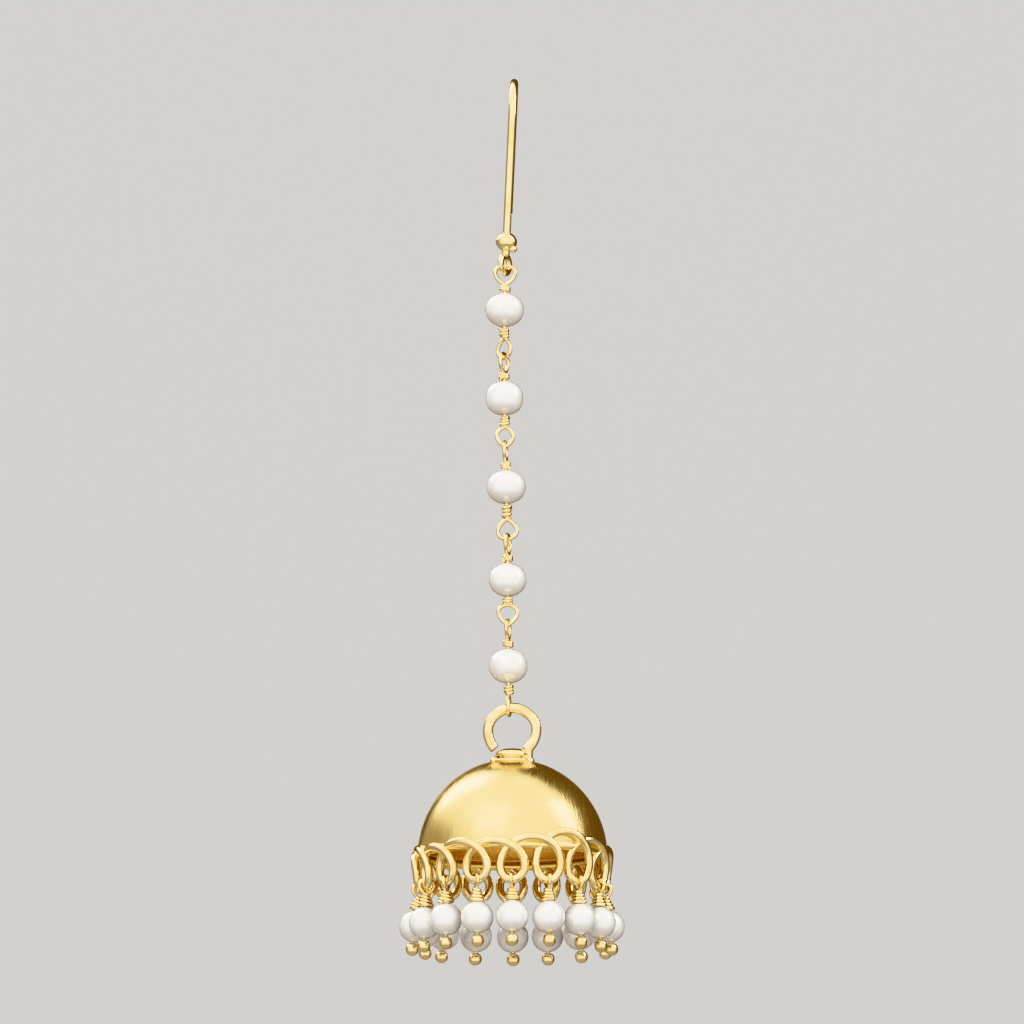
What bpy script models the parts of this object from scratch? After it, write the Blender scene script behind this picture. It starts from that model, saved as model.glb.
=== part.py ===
"""Jhumka earring: a hollow gold dome with a fringe of pearls, on a chain of wired pearls.

Metres, +Z up, +X to the right of the front view and +Y to the back. The origin is the inside
top of the hook's arch, where the ear carries the earring, and everything hangs below it.
"""

import math
import random
from collections import namedtuple

import bmesh
import bpy
from mathutils import Matrix, Vector

MM = 0.001

# Clearances between pieces that touch on the real earring
BEAD_GAP = 0.10 * MM
LINK_PLAY = 0.08 * MM

# Ear hook: a round wire with an eye at its foot and a bead resting on the eye
HOOK_WIRE = 0.84 * MM
HOOK_ARCH_RADIUS = 4.2 * MM
HOOK_HANG = 19.7 * MM
HOOK_REAR_LEG = 8.0 * MM
HOOK_TAIL_RADIUS = 6.0 * MM
HOOK_TAIL_BEND = math.radians(24)
HOOK_EYE_WIDTH = 2.6 * MM
HOOK_BEAD_WIDTH = 2.0 * MM

# Chain: pearls on wires that end in wrapped loops
LINK_WIRE = 0.40 * MM
LINK_LOOP_WIDTH = 2.45 * MM
LINK_LOOP_NECK = 0.10 * MM
LINK_PEARL_WIDTH = 4.15 * MM
LINK_PEARL_HEIGHT = 3.70 * MM
LINK_TURNS_ABOVE = 2

# Route of the chain: how far each hooked joint hangs beside the origin, from the hook's eye down
ROUTE_X = [-0.95 * MM, -1.10 * MM, -0.98 * MM, -0.70 * MM, -0.68 * MM, -0.55 * MM]

# One row for each wired pearl: how far its two loops are turned from facing the front, in
# degrees, and how many turns of wire are wrapped below the pearl
Link = namedtuple("Link", "top_turn bottom_turn turns_below")
LINKS = [
    Link(top_turn=0, bottom_turn=42, turns_below=3),
    Link(top_turn=96, bottom_turn=14, turns_below=3),
    Link(top_turn=84, bottom_turn=-10, turns_below=4),
    Link(top_turn=92, bottom_turn=28, turns_below=2),
    Link(top_turn=98, bottom_turn=90, turns_below=3),
]

# Dome: a spun shell with a rolled rim
DOME_X = -0.22 * MM
DOME_RADIUS = 10.05 * MM
DOME_HEIGHT = 10.20 * MM
DOME_WALL = 0.60 * MM
DOME_RIM_ROLL = 0.90 * MM

# Open ring soldered over the dome's collar
RING_WIDTH = 6.15 * MM
RING_WIRE = 1.07 * MM
RING_CUT_ANGLE = math.radians(227)
RING_FOOT_ANGLE = math.radians(-38)
COLLAR_TOP_WIDTH = 3.50 * MM
COLLAR_WAIST_WIDTH = 3.00 * MM
COLLAR_FOOT_WIDTH = 4.40 * MM
COLLAR_HEIGHT = 1.20 * MM
COLLAR_DISH_WIDTH = 2.50 * MM
COLLAR_DISH_DEPTH = 0.50 * MM
SOLDER_BEAD_WIDTH = 1.15 * MM

# Gallery: upright oval rings soldered along the rim, each with one drop
GALLERY_COUNT = 16
GALLERY_RING_WIDTH = 3.30 * MM
GALLERY_RING_HEIGHT = 4.20 * MM
GALLERY_WIRE = 0.77 * MM
GALLERY_SINK = 0.55 * MM

# Drops: a pearl on a head pin, under a cone of wrapped wire and a loop
DROP_WIRE = 0.35 * MM
DROP_LOOP_WIDTH = 1.90 * MM
DROP_CONE_WIDTH = 1.90 * MM
DROP_CONE_NECK = 0.90 * MM
DROP_CONE_HEIGHT = 1.20 * MM
DROP_PEARL_WIDTH = 3.40 * MM
DROP_BALL_WIDTH = 1.40 * MM
DROP_LEAN = math.radians(5)
DROP_LEAN_SPREAD = math.radians(4)
DROP_SIDE_SPREAD = math.radians(2.5)
DROP_TURN_SPREAD = math.radians(38)
DROP_SEED = 16

# Facets
HOOK_ARCH_STEPS = 12
LOOP_STEPS = 10
SMALL_LOOP_STEPS = 10
PEARL_SIDES = 12
PEARL_ROWS = 7
SMALL_PEARL_SIDES = 12
SMALL_PEARL_ROWS = 5
WRAP_SIDES = 10
BALL_ROWS = 3
DOME_SIDES = 32
DOME_ROWS = 6
COLLAR_SIDES = 16
RING_STEPS = 13
LINK_WIRE_SIDES = 6
HOOK_WIRE_SIDES = 8

# Sizes that follow from those above
HOOK_ARCH_CENTRE = HOOK_WIRE / 2 - HOOK_ARCH_RADIUS
HOOK_LEG_SLANT = math.asin(HOOK_ARCH_RADIUS / (HOOK_HANG + HOOK_ARCH_CENTRE))
HOOK_EYE_RADIUS = (HOOK_EYE_WIDTH - HOOK_WIRE) / 2
LINK_LOOP_RADIUS = (LINK_LOOP_WIDTH - LINK_WIRE) / 2
RING_RADIUS = (RING_WIDTH - RING_WIRE) / 2
DROP_LOOP_RADIUS = (DROP_LOOP_WIDTH - DROP_WIRE) / 2
RIM_RADIUS = DOME_RADIUS - DOME_WALL / 2
DOME_CROWN_DROP = RING_RADIUS + RING_WIRE / 2


def clear_scene():
    """Remove every object of the scene."""
    for item in list(bpy.data.objects):
        bpy.data.objects.remove(item, do_unlink=True)


def make_collection(name):
    """Return a new collection that is linked to the scene."""
    collection = bpy.data.collections.new(name)
    bpy.context.scene.collection.children.link(collection)
    return collection


def make_finish(name, colour, roughness, metallic):
    """Return a Principled BSDF material."""
    material = bpy.data.materials.new(name)
    material.use_nodes = True
    shader = material.node_tree.nodes["Principled BSDF"]
    shader.inputs["Base Color"].default_value = (*colour, 1)
    shader.inputs["Roughness"].default_value = roughness
    shader.inputs["Metallic"].default_value = metallic
    return material


def evaluated_mesh(item):
    """Return a mesh of an object as the viewport shows it, with loose caps welded."""
    graph = bpy.context.evaluated_depsgraph_get()
    mesh = bpy.data.meshes.new_from_object(item.evaluated_get(graph))
    shape = bmesh.new()
    shape.from_mesh(mesh)
    bmesh.ops.remove_doubles(shape, verts=shape.verts, dist=0.0005 * MM)
    shape.to_mesh(mesh)
    shape.free()
    return mesh


def turned(name, profile, sides, collection, closed=False):
    """Turn a profile of (radius, height) pairs about Z.

    The profile runs down its outer side. A closed profile is a section with a bore.
    """
    mesh = bpy.data.meshes.new(name)
    edges = [(index, index + 1) for index in range(len(profile) - 1)]
    if closed:
        edges.append((len(profile) - 1, 0))
    mesh.from_pydata([(radius, 0, height) for radius, height in profile], edges, [])
    item = bpy.data.objects.new(name, mesh)
    collection.objects.link(item)
    screw = item.modifiers.new("turn", "SCREW")
    screw.steps = sides
    screw.render_steps = sides
    screw.use_merge_vertices = True
    screw.merge_threshold = 0.0005 * MM
    screw.use_smooth_shade = True
    return item


def wire(name, points, diameter, sides, collection, closed=False):
    """Bend a round wire through points and return it as a mesh object.

    A closed wire is rolled by a quarter of a facet, so that its flats and those of a wire
    that is soldered to it don't lie in one plane.
    """
    curve = bpy.data.curves.new(name, "CURVE")
    curve.dimensions = "3D"
    curve.bevel_depth = diameter / 2
    curve.bevel_resolution = (sides - 4) // 2
    curve.use_fill_caps = not closed
    spline = curve.splines.new("POLY")
    spline.points.add(len(points) - 1)
    for knot, point in zip(spline.points, points):
        knot.co = (*point, 1)
        knot.tilt = math.pi / (2 * sides) if closed else 0
    spline.use_cyclic_u = closed
    bent = bpy.data.objects.new(name, curve)
    collection.objects.link(bent)
    mesh = evaluated_mesh(bent)
    mesh.transform(bent.matrix_world)
    bpy.data.objects.remove(bent)
    item = bpy.data.objects.new(name, mesh)
    collection.objects.link(item)
    return item


def ball(name, diameter, centre, collection):
    """Return a small round lump of solder."""
    mesh = bpy.data.meshes.new(name)
    shape = bmesh.new()
    bmesh.ops.create_uvsphere(
        shape,
        u_segments=10,
        v_segments=6,
        radius=diameter / 2,
        matrix=Matrix.Translation(centre),
    )
    shape.to_mesh(mesh)
    shape.free()
    item = bpy.data.objects.new(name, mesh)
    collection.objects.link(item)
    return item


def fuse(name, pieces, finish, collection):
    """Solder overlapping pieces into one solid object and remove the pieces."""
    base = pieces[0]
    for piece in pieces[1:]:
        union = base.modifiers.new("solder", "BOOLEAN")
        union.operation = "UNION"
        union.object = piece
    mesh = evaluated_mesh(base)
    for piece in pieces:
        bpy.data.objects.remove(piece)
    return finished(name, mesh, finish, collection)


def finished(name, mesh, finish, collection):
    """Put a mesh in the collection as a smooth-shaded object of one finish."""
    mesh.name = name
    mesh.materials.clear()
    mesh.materials.append(finish)
    mesh.shade_smooth()
    mesh.set_sharp_from_angle(angle=math.radians(50))
    item = bpy.data.objects.new(name, mesh)
    collection.objects.link(item)
    return item


def bead_profile(width, height, bore, rows):
    """Section of a round bead with a bore, as a closed profile."""
    start = math.acos(bore / width)
    angles = [start - 2 * start * row / rows for row in range(rows + 1)]
    return [(width / 2 * math.cos(angle), height / 2 * math.sin(angle)) for angle in angles]


def loop_points(radius, neck, turn, steps, side=1):
    """Points of a wire loop that closes in a point at the origin and stands up from it.

    A side of -1 hangs the loop down. The loop is turned about Z, from facing the front.
    """
    mouth = 2 * math.pi / steps
    points = [Vector((0, 0, 0))]
    for step in range(1, steps):
        angle = mouth * step - math.pi / 2
        across = radius * math.cos(angle)
        up = neck + radius * (1 + math.sin(angle))
        points.append(Vector((across * math.cos(turn), across * math.sin(turn), side * up)))
    return points


def shifted(points, offset):
    """Return points moved by an offset."""
    return [point + offset for point in points]


def wrap_profile(top, turns, diameter):
    """Outer side of turns of wire laid against each other around a wire of the same size."""
    ridge = 1.5 * diameter
    groove = 1.3 * diameter
    profile = [(groove, top)]
    for turn in range(turns):
        profile.append((ridge, top - (turn + 0.5) * diameter))
        profile.append((groove, top - (turn + 1) * diameter))
    return profile


def hook_path():
    """Middle line of the ear hook in its own YZ plane, from its eye over the arch to its tail."""
    centre = Vector((0, 0, HOOK_ARCH_CENTRE))
    eye = Vector((0, 0, -HOOK_HANG))
    leg = Vector((0, -math.sin(HOOK_LEG_SLANT), math.cos(HOOK_LEG_SLANT)))
    points = [eye + leg * (HOOK_EYE_RADIUS - HOOK_WIRE / 8)]
    for step in range(HOOK_ARCH_STEPS + 1):
        angle = math.pi + HOOK_LEG_SLANT - math.pi * step / HOOK_ARCH_STEPS
        points.append(centre + HOOK_ARCH_RADIUS * Vector((0, math.cos(angle), math.sin(angle))))
    bend_start = points[-1] - leg * HOOK_REAR_LEG
    outward = Vector((0, math.cos(HOOK_LEG_SLANT), math.sin(HOOK_LEG_SLANT)))
    bend_steps = 5
    for step in range(bend_steps + 1):
        angle = HOOK_TAIL_BEND * step / bend_steps
        along = -leg * math.sin(angle) + outward * (1 - math.cos(angle))
        points.append(bend_start + along * HOOK_TAIL_RADIUS)
    return points


def make_ear_hook(finish, collection):
    """Bend the hook and solder its eye shut."""
    leg = wire("leg", hook_path(), HOOK_WIRE, HOOK_WIRE_SIDES, collection)
    eye_points = []
    for step in range(LOOP_STEPS):
        angle = 2 * math.pi * (step + 0.5) / LOOP_STEPS
        eye_points.append(Vector((0, math.cos(angle), math.sin(angle))) * HOOK_EYE_RADIUS)
    eye_points = shifted(eye_points, Vector((0, 0, -HOOK_HANG)))
    eye = wire("eye", eye_points, HOOK_WIRE, HOOK_WIRE_SIDES, collection, closed=True)
    hook = fuse("ear_hook", [leg, eye], finish, collection)
    hook.rotation_euler = (0, math.asin(-ROUTE_X[0] / HOOK_HANG), 0)
    return hook


def make_hook_bead(hook, finish, collection):
    """String the bead on the hook's leg, so that it rests on the eye."""
    bore = HOOK_WIRE + 2 * BEAD_GAP
    profile = bead_profile(HOOK_BEAD_WIDTH, HOOK_BEAD_WIDTH, bore, PEARL_ROWS)
    bead = turned("hook_bead", profile, PEARL_SIDES, collection, closed=True)
    bead.data.materials.append(finish)
    height = HOOK_EYE_WIDTH / 2 + BEAD_GAP + HOOK_BEAD_WIDTH / 2
    bead.parent = hook
    bead.location = (
        0,
        -height * math.sin(HOOK_LEG_SLANT),
        height * math.cos(HOOK_LEG_SLANT) - HOOK_HANG,
    )
    bead.rotation_euler = (HOOK_LEG_SLANT, 0, 0)
    return bead


def link_reach(turns):
    """Distance from a chain pearl's middle to the outer wire of its loop, over the wraps."""
    loop = LINK_LOOP_NECK + 2 * LINK_LOOP_RADIUS
    return LINK_PEARL_HEIGHT / 2 + BEAD_GAP + turns * LINK_WIRE + loop


def make_link_wire(name, link, finish, collection):
    """Make the wire of one chain pearl: a loop, wraps, the shank, wraps and a loop."""
    seat = LINK_PEARL_HEIGHT / 2 + BEAD_GAP
    top = seat + LINK_TURNS_ABOVE * LINK_WIRE
    bottom = seat + link.turns_below * LINK_WIRE
    profile = [(0, top)]
    profile += wrap_profile(top, LINK_TURNS_ABOVE, LINK_WIRE)
    profile += [(LINK_WIRE / 2, seat), (LINK_WIRE / 2, -seat)]
    profile += wrap_profile(-seat, link.turns_below, LINK_WIRE)
    profile += [(0, -bottom)]
    core = turned("core", profile, WRAP_SIDES, collection)
    pieces = [core]
    for side, end, turn in ((1, top, link.top_turn), (-1, bottom, link.bottom_turn)):
        sunk = LINK_WIRE / 2
        points = loop_points(
            LINK_LOOP_RADIUS, LINK_LOOP_NECK, math.radians(turn), LOOP_STEPS, side
        )
        points = shifted(points, Vector((0, 0, side * end)))
        points[0].z -= side * sunk
        pieces.append(wire("loop", points, LINK_WIRE, LINK_WIRE_SIDES, collection, closed=True))
    return fuse(name, pieces, finish, collection)


def make_chain_pearl(name, finish, collection):
    """Make one slightly flattened pearl of the chain, drilled for its wire."""
    bore = LINK_WIRE + 2 * BEAD_GAP
    profile = bead_profile(LINK_PEARL_WIDTH, LINK_PEARL_HEIGHT, bore, PEARL_ROWS)
    pearl = turned(name, profile, PEARL_SIDES, collection, closed=True)
    pearl.data.materials.append(finish)
    return pearl


def make_chain(wire_finish, pearl_finish, collection):
    """Hang the wired pearls from the hook's eye and return the lowest hooked point.

    Each wire's upper loop hooks over the bottom of the loop above it. The point that is
    carried down the chain is the middle of the wire at the bottom of the last loop.
    """
    eye_drop = math.sqrt(HOOK_HANG**2 - ROUTE_X[0] ** 2)
    hooked = Vector((ROUTE_X[0], 0, -eye_drop - HOOK_EYE_RADIUS))
    above = HOOK_WIRE
    for index, link in enumerate(LINKS):
        top = hooked + Vector((0, 0, (above + LINK_WIRE) / 2 + LINK_PLAY))
        upper_reach = link_reach(LINK_TURNS_ABOVE)
        length = upper_reach + link_reach(link.turns_below)
        aside = ROUTE_X[index + 1] - top.x
        down = Vector((aside, 0, -math.sqrt(length**2 - aside**2))) / length
        lean = math.asin(-down.x)
        link_wire = make_link_wire(f"link_wire_{index + 1}", link, wire_finish, collection)
        pearl = make_chain_pearl(f"chain_pearl_{index + 1}", pearl_finish, collection)
        link_wire.location = top + down * upper_reach
        link_wire.rotation_euler = (0, lean, 0)
        pearl.parent = link_wire
        hooked = top + down * length
        above = LINK_WIRE
    return hooked


def dome_profile():
    """Section of the shell from the crown down its outside, round the rim and up its inside."""
    rim_roll = DOME_RIM_ROLL / 2
    start = math.asin((rim_roll * 0.8) / DOME_HEIGHT)
    profile = []
    for row in range(DOME_ROWS + 1):
        angle = math.pi / 2 - (math.pi / 2 - start) * row / DOME_ROWS
        profile.append((DOME_RADIUS * math.cos(angle), DOME_HEIGHT * math.sin(angle)))
    for step in range(5):
        angle = math.radians(45 - 67.5 * step)
        profile.append((RIM_RADIUS + rim_roll * math.cos(angle), rim_roll * math.sin(angle)))
    inner_radius = DOME_RADIUS - DOME_WALL
    inner_height = DOME_HEIGHT - DOME_WALL
    for row in range(DOME_ROWS + 1):
        angle = start + (math.pi / 2 - start) * row / DOME_ROWS
        profile.append((inner_radius * math.cos(angle), inner_height * math.sin(angle)))
    profile[0] = (0, DOME_HEIGHT)
    profile[-1] = (0, inner_height)
    return profile


def collar_profile():
    """Section of the flared collar, from the bottom of its dish to its foot in the crown."""
    sunk = crown_fall(COLLAR_FOOT_WIDTH / 2) + DOME_WALL / 4
    return [
        (0, COLLAR_HEIGHT - COLLAR_DISH_DEPTH),
        (COLLAR_DISH_WIDTH * 0.35, COLLAR_HEIGHT - COLLAR_DISH_DEPTH * 0.85),
        (COLLAR_DISH_WIDTH / 2, COLLAR_HEIGHT),
        (COLLAR_TOP_WIDTH / 2, COLLAR_HEIGHT * 0.92),
        (COLLAR_WAIST_WIDTH / 2, COLLAR_HEIGHT * 0.50),
        (COLLAR_WAIST_WIDTH / 2, COLLAR_HEIGHT * 0.30),
        (COLLAR_FOOT_WIDTH / 2, -crown_fall(COLLAR_FOOT_WIDTH / 2)),
        (COLLAR_FOOT_WIDTH / 2, -sunk),
        (0, -sunk),
    ]


def crown_fall(radius):
    """How far the dome's outside has fallen from its crown at a radius."""
    return DOME_HEIGHT * (1 - math.sqrt(1 - (radius / DOME_RADIUS) ** 2))


def ring_points():
    """Middle line of the open ring in the front plane, about its own middle.

    It runs from the cut end at the lower left over the top to the lower right, and down into
    the collar's foot.
    """
    points = []
    for step in range(RING_STEPS + 1):
        angle = RING_CUT_ANGLE + (RING_FOOT_ANGLE - RING_CUT_ANGLE) * step / RING_STEPS
        points.append(RING_RADIUS * Vector((math.cos(angle), 0, math.sin(angle))))
    foot = Vector((COLLAR_FOOT_WIDTH / 2 - RING_WIRE / 3, 0, -DOME_CROWN_DROP))
    points.append(foot)
    return points


def gallery_points():
    """Middle line of one upright oval ring in its YZ plane, about the middle of its top wire."""
    across = (GALLERY_RING_WIDTH - GALLERY_WIRE) / 2
    up = (GALLERY_RING_HEIGHT - GALLERY_WIRE) / 2
    points = []
    for step in range(SMALL_LOOP_STEPS):
        angle = 2 * math.pi * (step + 0.5) / SMALL_LOOP_STEPS
        points.append(Vector((0, across * math.cos(angle), up * (math.sin(angle) - 1))))
    return points


def gallery_angle(index):
    """Angle of one gallery ring about the dome's axis. The first faces the front."""
    return 2 * math.pi * index / GALLERY_COUNT - math.pi / 2


def make_dome(swing, finish, collection):
    """Spin the dome and solder on its collar, open ring and gallery."""
    crown = -RING_RADIUS - DOME_CROWN_DROP
    rim = crown - DOME_HEIGHT
    shell = turned("shell", dome_profile(), DOME_SIDES, collection)
    shell.location = (0, 0, rim)
    collar = turned("collar", collar_profile(), COLLAR_SIDES, collection)
    collar.location = (0, 0, crown)
    ring_middle = Vector((0, 0, -RING_RADIUS))
    ring_line = shifted(ring_points(), ring_middle)
    ring = wire("ring", ring_line, RING_WIRE, HOOK_WIRE_SIDES, collection)
    pieces = [shell, collar, ring]
    solder_out = COLLAR_FOOT_WIDTH / 2 - SOLDER_BEAD_WIDTH / 3
    for side in (-1, 1):
        centre = Vector((side * solder_out, 0, crown - crown_fall(solder_out)))
        pieces.append(ball("solder", SOLDER_BEAD_WIDTH, centre, collection))
    for index in range(GALLERY_COUNT):
        turn = Matrix.Rotation(gallery_angle(index), 4, "Z")
        points = shifted(gallery_points(), Vector((RIM_RADIUS, 0, rim + gallery_top())))
        points = [turn @ point for point in points]
        loop = wire("gallery", points, GALLERY_WIRE, LINK_WIRE_SIDES, collection, closed=True)
        pieces.append(loop)
    bpy.context.view_layer.update()
    dome = fuse_in_place("jhumka_dome", pieces, finish, collection)
    dome.parent = swing
    return dome


def fuse_in_place(name, pieces, finish, collection):
    """Fuse pieces that have places of their own, into a mesh about the origin."""
    base = pieces[0]
    place = base.matrix_world.copy()
    item = fuse(name, pieces, finish, collection)
    item.data.transform(place)
    return item


def gallery_top():
    """Height of the middle of a gallery ring's top wire above the middle of the rolled rim."""
    return GALLERY_SINK - DOME_RIM_ROLL / 2 - GALLERY_WIRE / 2


def drop_profile():
    """Outer side of a head pin from the top of its wrapped cone down to the ball end.

    Heights are below the middle of the gallery wire that the drop hangs on.
    """
    loop_top = (GALLERY_WIRE + DROP_WIRE) / 2 + LINK_PLAY
    cone_top = loop_top - 2 * DROP_LOOP_RADIUS
    cone_foot = cone_top - DROP_CONE_HEIGHT
    ball_middle = drop_pearl_height() - drop_ball_seat()
    shank = DROP_WIRE / 2
    ball_radius = DROP_BALL_WIDTH / 2
    profile = [
        (0, cone_top),
        (DROP_CONE_NECK / 2, cone_top),
        (DROP_CONE_WIDTH / 2, cone_foot + DROP_WIRE),
        (DROP_CONE_WIDTH * 0.42, cone_foot),
        (shank, cone_foot),
    ]
    start = math.acos(shank / ball_radius)
    for row in range(BALL_ROWS):
        angle = start - (start + math.pi / 2) * row / BALL_ROWS
        height = ball_middle + ball_radius * math.sin(angle)
        profile.append((ball_radius * math.cos(angle), height))
    profile.append((0, ball_middle - ball_radius))
    return profile


def drop_pearl_height():
    """Height of a drop pearl's middle, below the middle of the gallery wire."""
    loop_top = (GALLERY_WIRE + DROP_WIRE) / 2 + LINK_PLAY
    cone_foot = loop_top - 2 * DROP_LOOP_RADIUS - DROP_CONE_HEIGHT
    return cone_foot - BEAD_GAP - DROP_PEARL_WIDTH / 2


def drop_ball_seat():
    """Distance from a drop pearl's middle to the middle of the ball that carries it."""
    bore_radius = DROP_WIRE / 2 + BEAD_GAP
    pearl = math.sqrt((DROP_PEARL_WIDTH / 2) ** 2 - bore_radius**2)
    return pearl + DROP_BALL_WIDTH / 2 + BEAD_GAP / 2


def make_drop_pin(name, finish, collection):
    """Make one head pin with its ball end, wrapped cone and loop."""
    pin = turned("pin", drop_profile(), WRAP_SIDES, collection)
    loop_top = (GALLERY_WIRE + DROP_WIRE) / 2 + LINK_PLAY
    points = loop_points(DROP_LOOP_RADIUS, 0, 0, SMALL_LOOP_STEPS)
    points = shifted(points, Vector((0, 0, loop_top - 2 * DROP_LOOP_RADIUS)))
    points[0].z -= DROP_WIRE / 2
    loop = wire("loop", points, DROP_WIRE, LINK_WIRE_SIDES, collection, closed=True)
    return fuse(name, [pin, loop], finish, collection)


def make_drop_pearl(name, finish, collection):
    """Make one drop pearl about its own middle, drilled for its pin."""
    bore = DROP_WIRE + 2 * BEAD_GAP
    profile = bead_profile(DROP_PEARL_WIDTH, DROP_PEARL_WIDTH, bore, SMALL_PEARL_ROWS)
    pearl = turned(name, profile, SMALL_PEARL_SIDES, collection, closed=True)
    pearl.data.materials.append(finish)
    return pearl


def make_drops(swing, wire_finish, pearl_finish, collection):
    """Hang one drop from each gallery ring, each leaning a little its own way."""
    rng = random.Random(DROP_SEED)
    crown = -RING_RADIUS - DOME_CROWN_DROP
    rim = crown - DOME_HEIGHT
    wire_height = rim + gallery_top() - (GALLERY_RING_HEIGHT - GALLERY_WIRE)
    for index in range(GALLERY_COUNT):
        lean = DROP_LEAN + rng.uniform(-1, 1) * DROP_LEAN_SPREAD
        aside = rng.uniform(-1, 1) * DROP_SIDE_SPREAD
        turn = rng.uniform(-1, 1) * DROP_TURN_SPREAD
        angle = gallery_angle(index)
        hang = (
            Matrix.Rotation(angle, 4, "Z")
            @ Matrix.Rotation(-lean, 4, "Y")
            @ Matrix.Rotation(aside, 4, "X")
            @ Matrix.Rotation(turn, 4, "Z")
        )
        pin = make_drop_pin(f"drop_pin_{index + 1}", wire_finish, collection)
        pin.parent = swing
        pin.location = (RIM_RADIUS * math.cos(angle), RIM_RADIUS * math.sin(angle), wire_height)
        pin.rotation_euler = hang.to_euler()
        pearl = make_drop_pearl(f"drop_pearl_{index + 1}", pearl_finish, collection)
        pearl.parent = pin
        pearl.location = (0, 0, drop_pearl_height())


def make_swing(hooked):
    """Return the empty on the axis that the dome swings about, in the open ring's top wire."""
    swing = bpy.data.objects.new("dome_swing", None)
    bpy.context.scene.collection.objects.link(swing)
    rise = (LINK_WIRE + RING_WIRE) / 2 + LINK_PLAY
    swing.location = (DOME_X, 0, hooked.z + rise)
    return swing


def main():
    """Build the earring from the hook down."""
    clear_scene()
    earring = make_collection("jhumka_earring")
    polished_gold = make_finish("polished_gold", (0.86, 0.62, 0.25), 0.18, 1.0)
    brushed_gold = make_finish("brushed_gold", (0.84, 0.63, 0.28), 0.32, 1.0)
    gold_wire = make_finish("gold_wire", (0.88, 0.66, 0.30), 0.22, 1.0)
    white_pearl = make_finish("white_pearl", (0.88, 0.87, 0.84), 0.22, 0.0)
    hook = make_ear_hook(polished_gold, earring)
    make_hook_bead(hook, polished_gold, earring)
    hooked = make_chain(gold_wire, white_pearl, earring)
    swing = make_swing(hooked)
    make_dome(swing, brushed_gold, earring)
    make_drops(swing, gold_wire, white_pearl, earring)
    bpy.context.view_layer.update()


main()
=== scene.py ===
"""Looks of the jhumka earring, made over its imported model.

Sizes are in millimetres until a mesh is written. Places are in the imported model's own frame: +X to
the right of the front view, +Y to the back and +Z up, from the inside top of the hook's arch.
"""

import logging
import math
import random
from dataclasses import dataclass
from enum import Enum
from typing import Optional

import bpy
import numpy as np
from mathutils import Matrix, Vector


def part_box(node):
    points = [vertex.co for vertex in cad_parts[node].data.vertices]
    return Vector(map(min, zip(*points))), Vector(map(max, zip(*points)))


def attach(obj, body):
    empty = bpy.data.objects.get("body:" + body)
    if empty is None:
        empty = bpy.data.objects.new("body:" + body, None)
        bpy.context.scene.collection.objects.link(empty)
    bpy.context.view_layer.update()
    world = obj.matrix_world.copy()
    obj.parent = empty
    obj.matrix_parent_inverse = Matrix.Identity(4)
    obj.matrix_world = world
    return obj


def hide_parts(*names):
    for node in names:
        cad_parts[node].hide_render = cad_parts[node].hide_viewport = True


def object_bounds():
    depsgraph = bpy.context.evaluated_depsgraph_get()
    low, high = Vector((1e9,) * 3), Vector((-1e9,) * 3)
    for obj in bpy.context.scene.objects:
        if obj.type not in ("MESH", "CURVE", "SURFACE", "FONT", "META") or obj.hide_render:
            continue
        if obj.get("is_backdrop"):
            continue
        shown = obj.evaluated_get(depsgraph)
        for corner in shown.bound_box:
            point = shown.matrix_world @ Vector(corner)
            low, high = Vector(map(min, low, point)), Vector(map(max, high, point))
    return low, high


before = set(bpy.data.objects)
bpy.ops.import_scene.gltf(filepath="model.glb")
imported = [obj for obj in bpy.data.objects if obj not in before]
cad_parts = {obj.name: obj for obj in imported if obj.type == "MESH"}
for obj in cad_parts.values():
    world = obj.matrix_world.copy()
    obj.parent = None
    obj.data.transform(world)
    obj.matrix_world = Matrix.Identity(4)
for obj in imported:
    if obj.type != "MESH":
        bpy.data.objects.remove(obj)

Array = np.ndarray
Colour = tuple[float, float, float, float]
Material = bpy.types.Material
Piece = bpy.types.Object
Socket = bpy.types.NodeSocket

MM = 0.001
TURN = 2 * math.pi
RIGHT = np.array([1.0, 0.0, 0.0])
BACK = np.array([0.0, 1.0, 0.0])
UP = np.array([0.0, 0.0, 1.0])
SURFACE_MAP = "surface_map"
NOISE_LOW, NOISE_HIGH = 0.3, 0.7
POLE = 0.1  # radius at which a section stops short of its axis, for a fan to close

log = logging.getLogger("jhumka_earring")


class Body(Enum):
    """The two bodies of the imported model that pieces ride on."""

    CHAIN = "hook_chain"
    DOME = "dome_drop"


class Slot(Enum):
    """The record's material slots."""

    POLISHED = "polished_gold"
    BRUSHED = "brushed_gold"
    WIRE = "gold_wire"
    PEARL = "white_pearl"


def unit(vectors: Array) -> Array:
    """Vectors divided by their own lengths."""
    return vectors / np.linalg.norm(vectors, axis=-1, keepdims=True)


def node_box(name: str) -> tuple[Array, Array]:
    """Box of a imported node.

    Args:
        name: the node's name.

    Returns:
        Its lowest and its highest corner, in millimetres.
    """
    low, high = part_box(name)
    return np.array(low) / MM, np.array(high) / MM


def node_middle(name: str) -> Array:
    """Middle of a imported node's box, in millimetres."""
    low, high = node_box(name)
    return (low + high) / 2


def softened(line: Array, rounds: int) -> Array:
    """Rounds the corners of an open line.

    Each round puts two points on every stretch, at a quarter and at three quarters of it, and
    keeps the two ends, so that corners turn into curves.

    Args:
        line: points of the line, one to a row.
        rounds: how many times the corners are cut.

    Returns:
        The points of the rounded line.
    """
    for _ in range(rounds):
        near = 0.75 * line[:-1] + 0.25 * line[1:]
        far = 0.25 * line[:-1] + 0.75 * line[1:]
        cut = np.stack([near, far], axis=1).reshape(-1, line.shape[1])
        line = np.concatenate([line[:1], cut[1:-1], line[-1:]])
    return line


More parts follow.
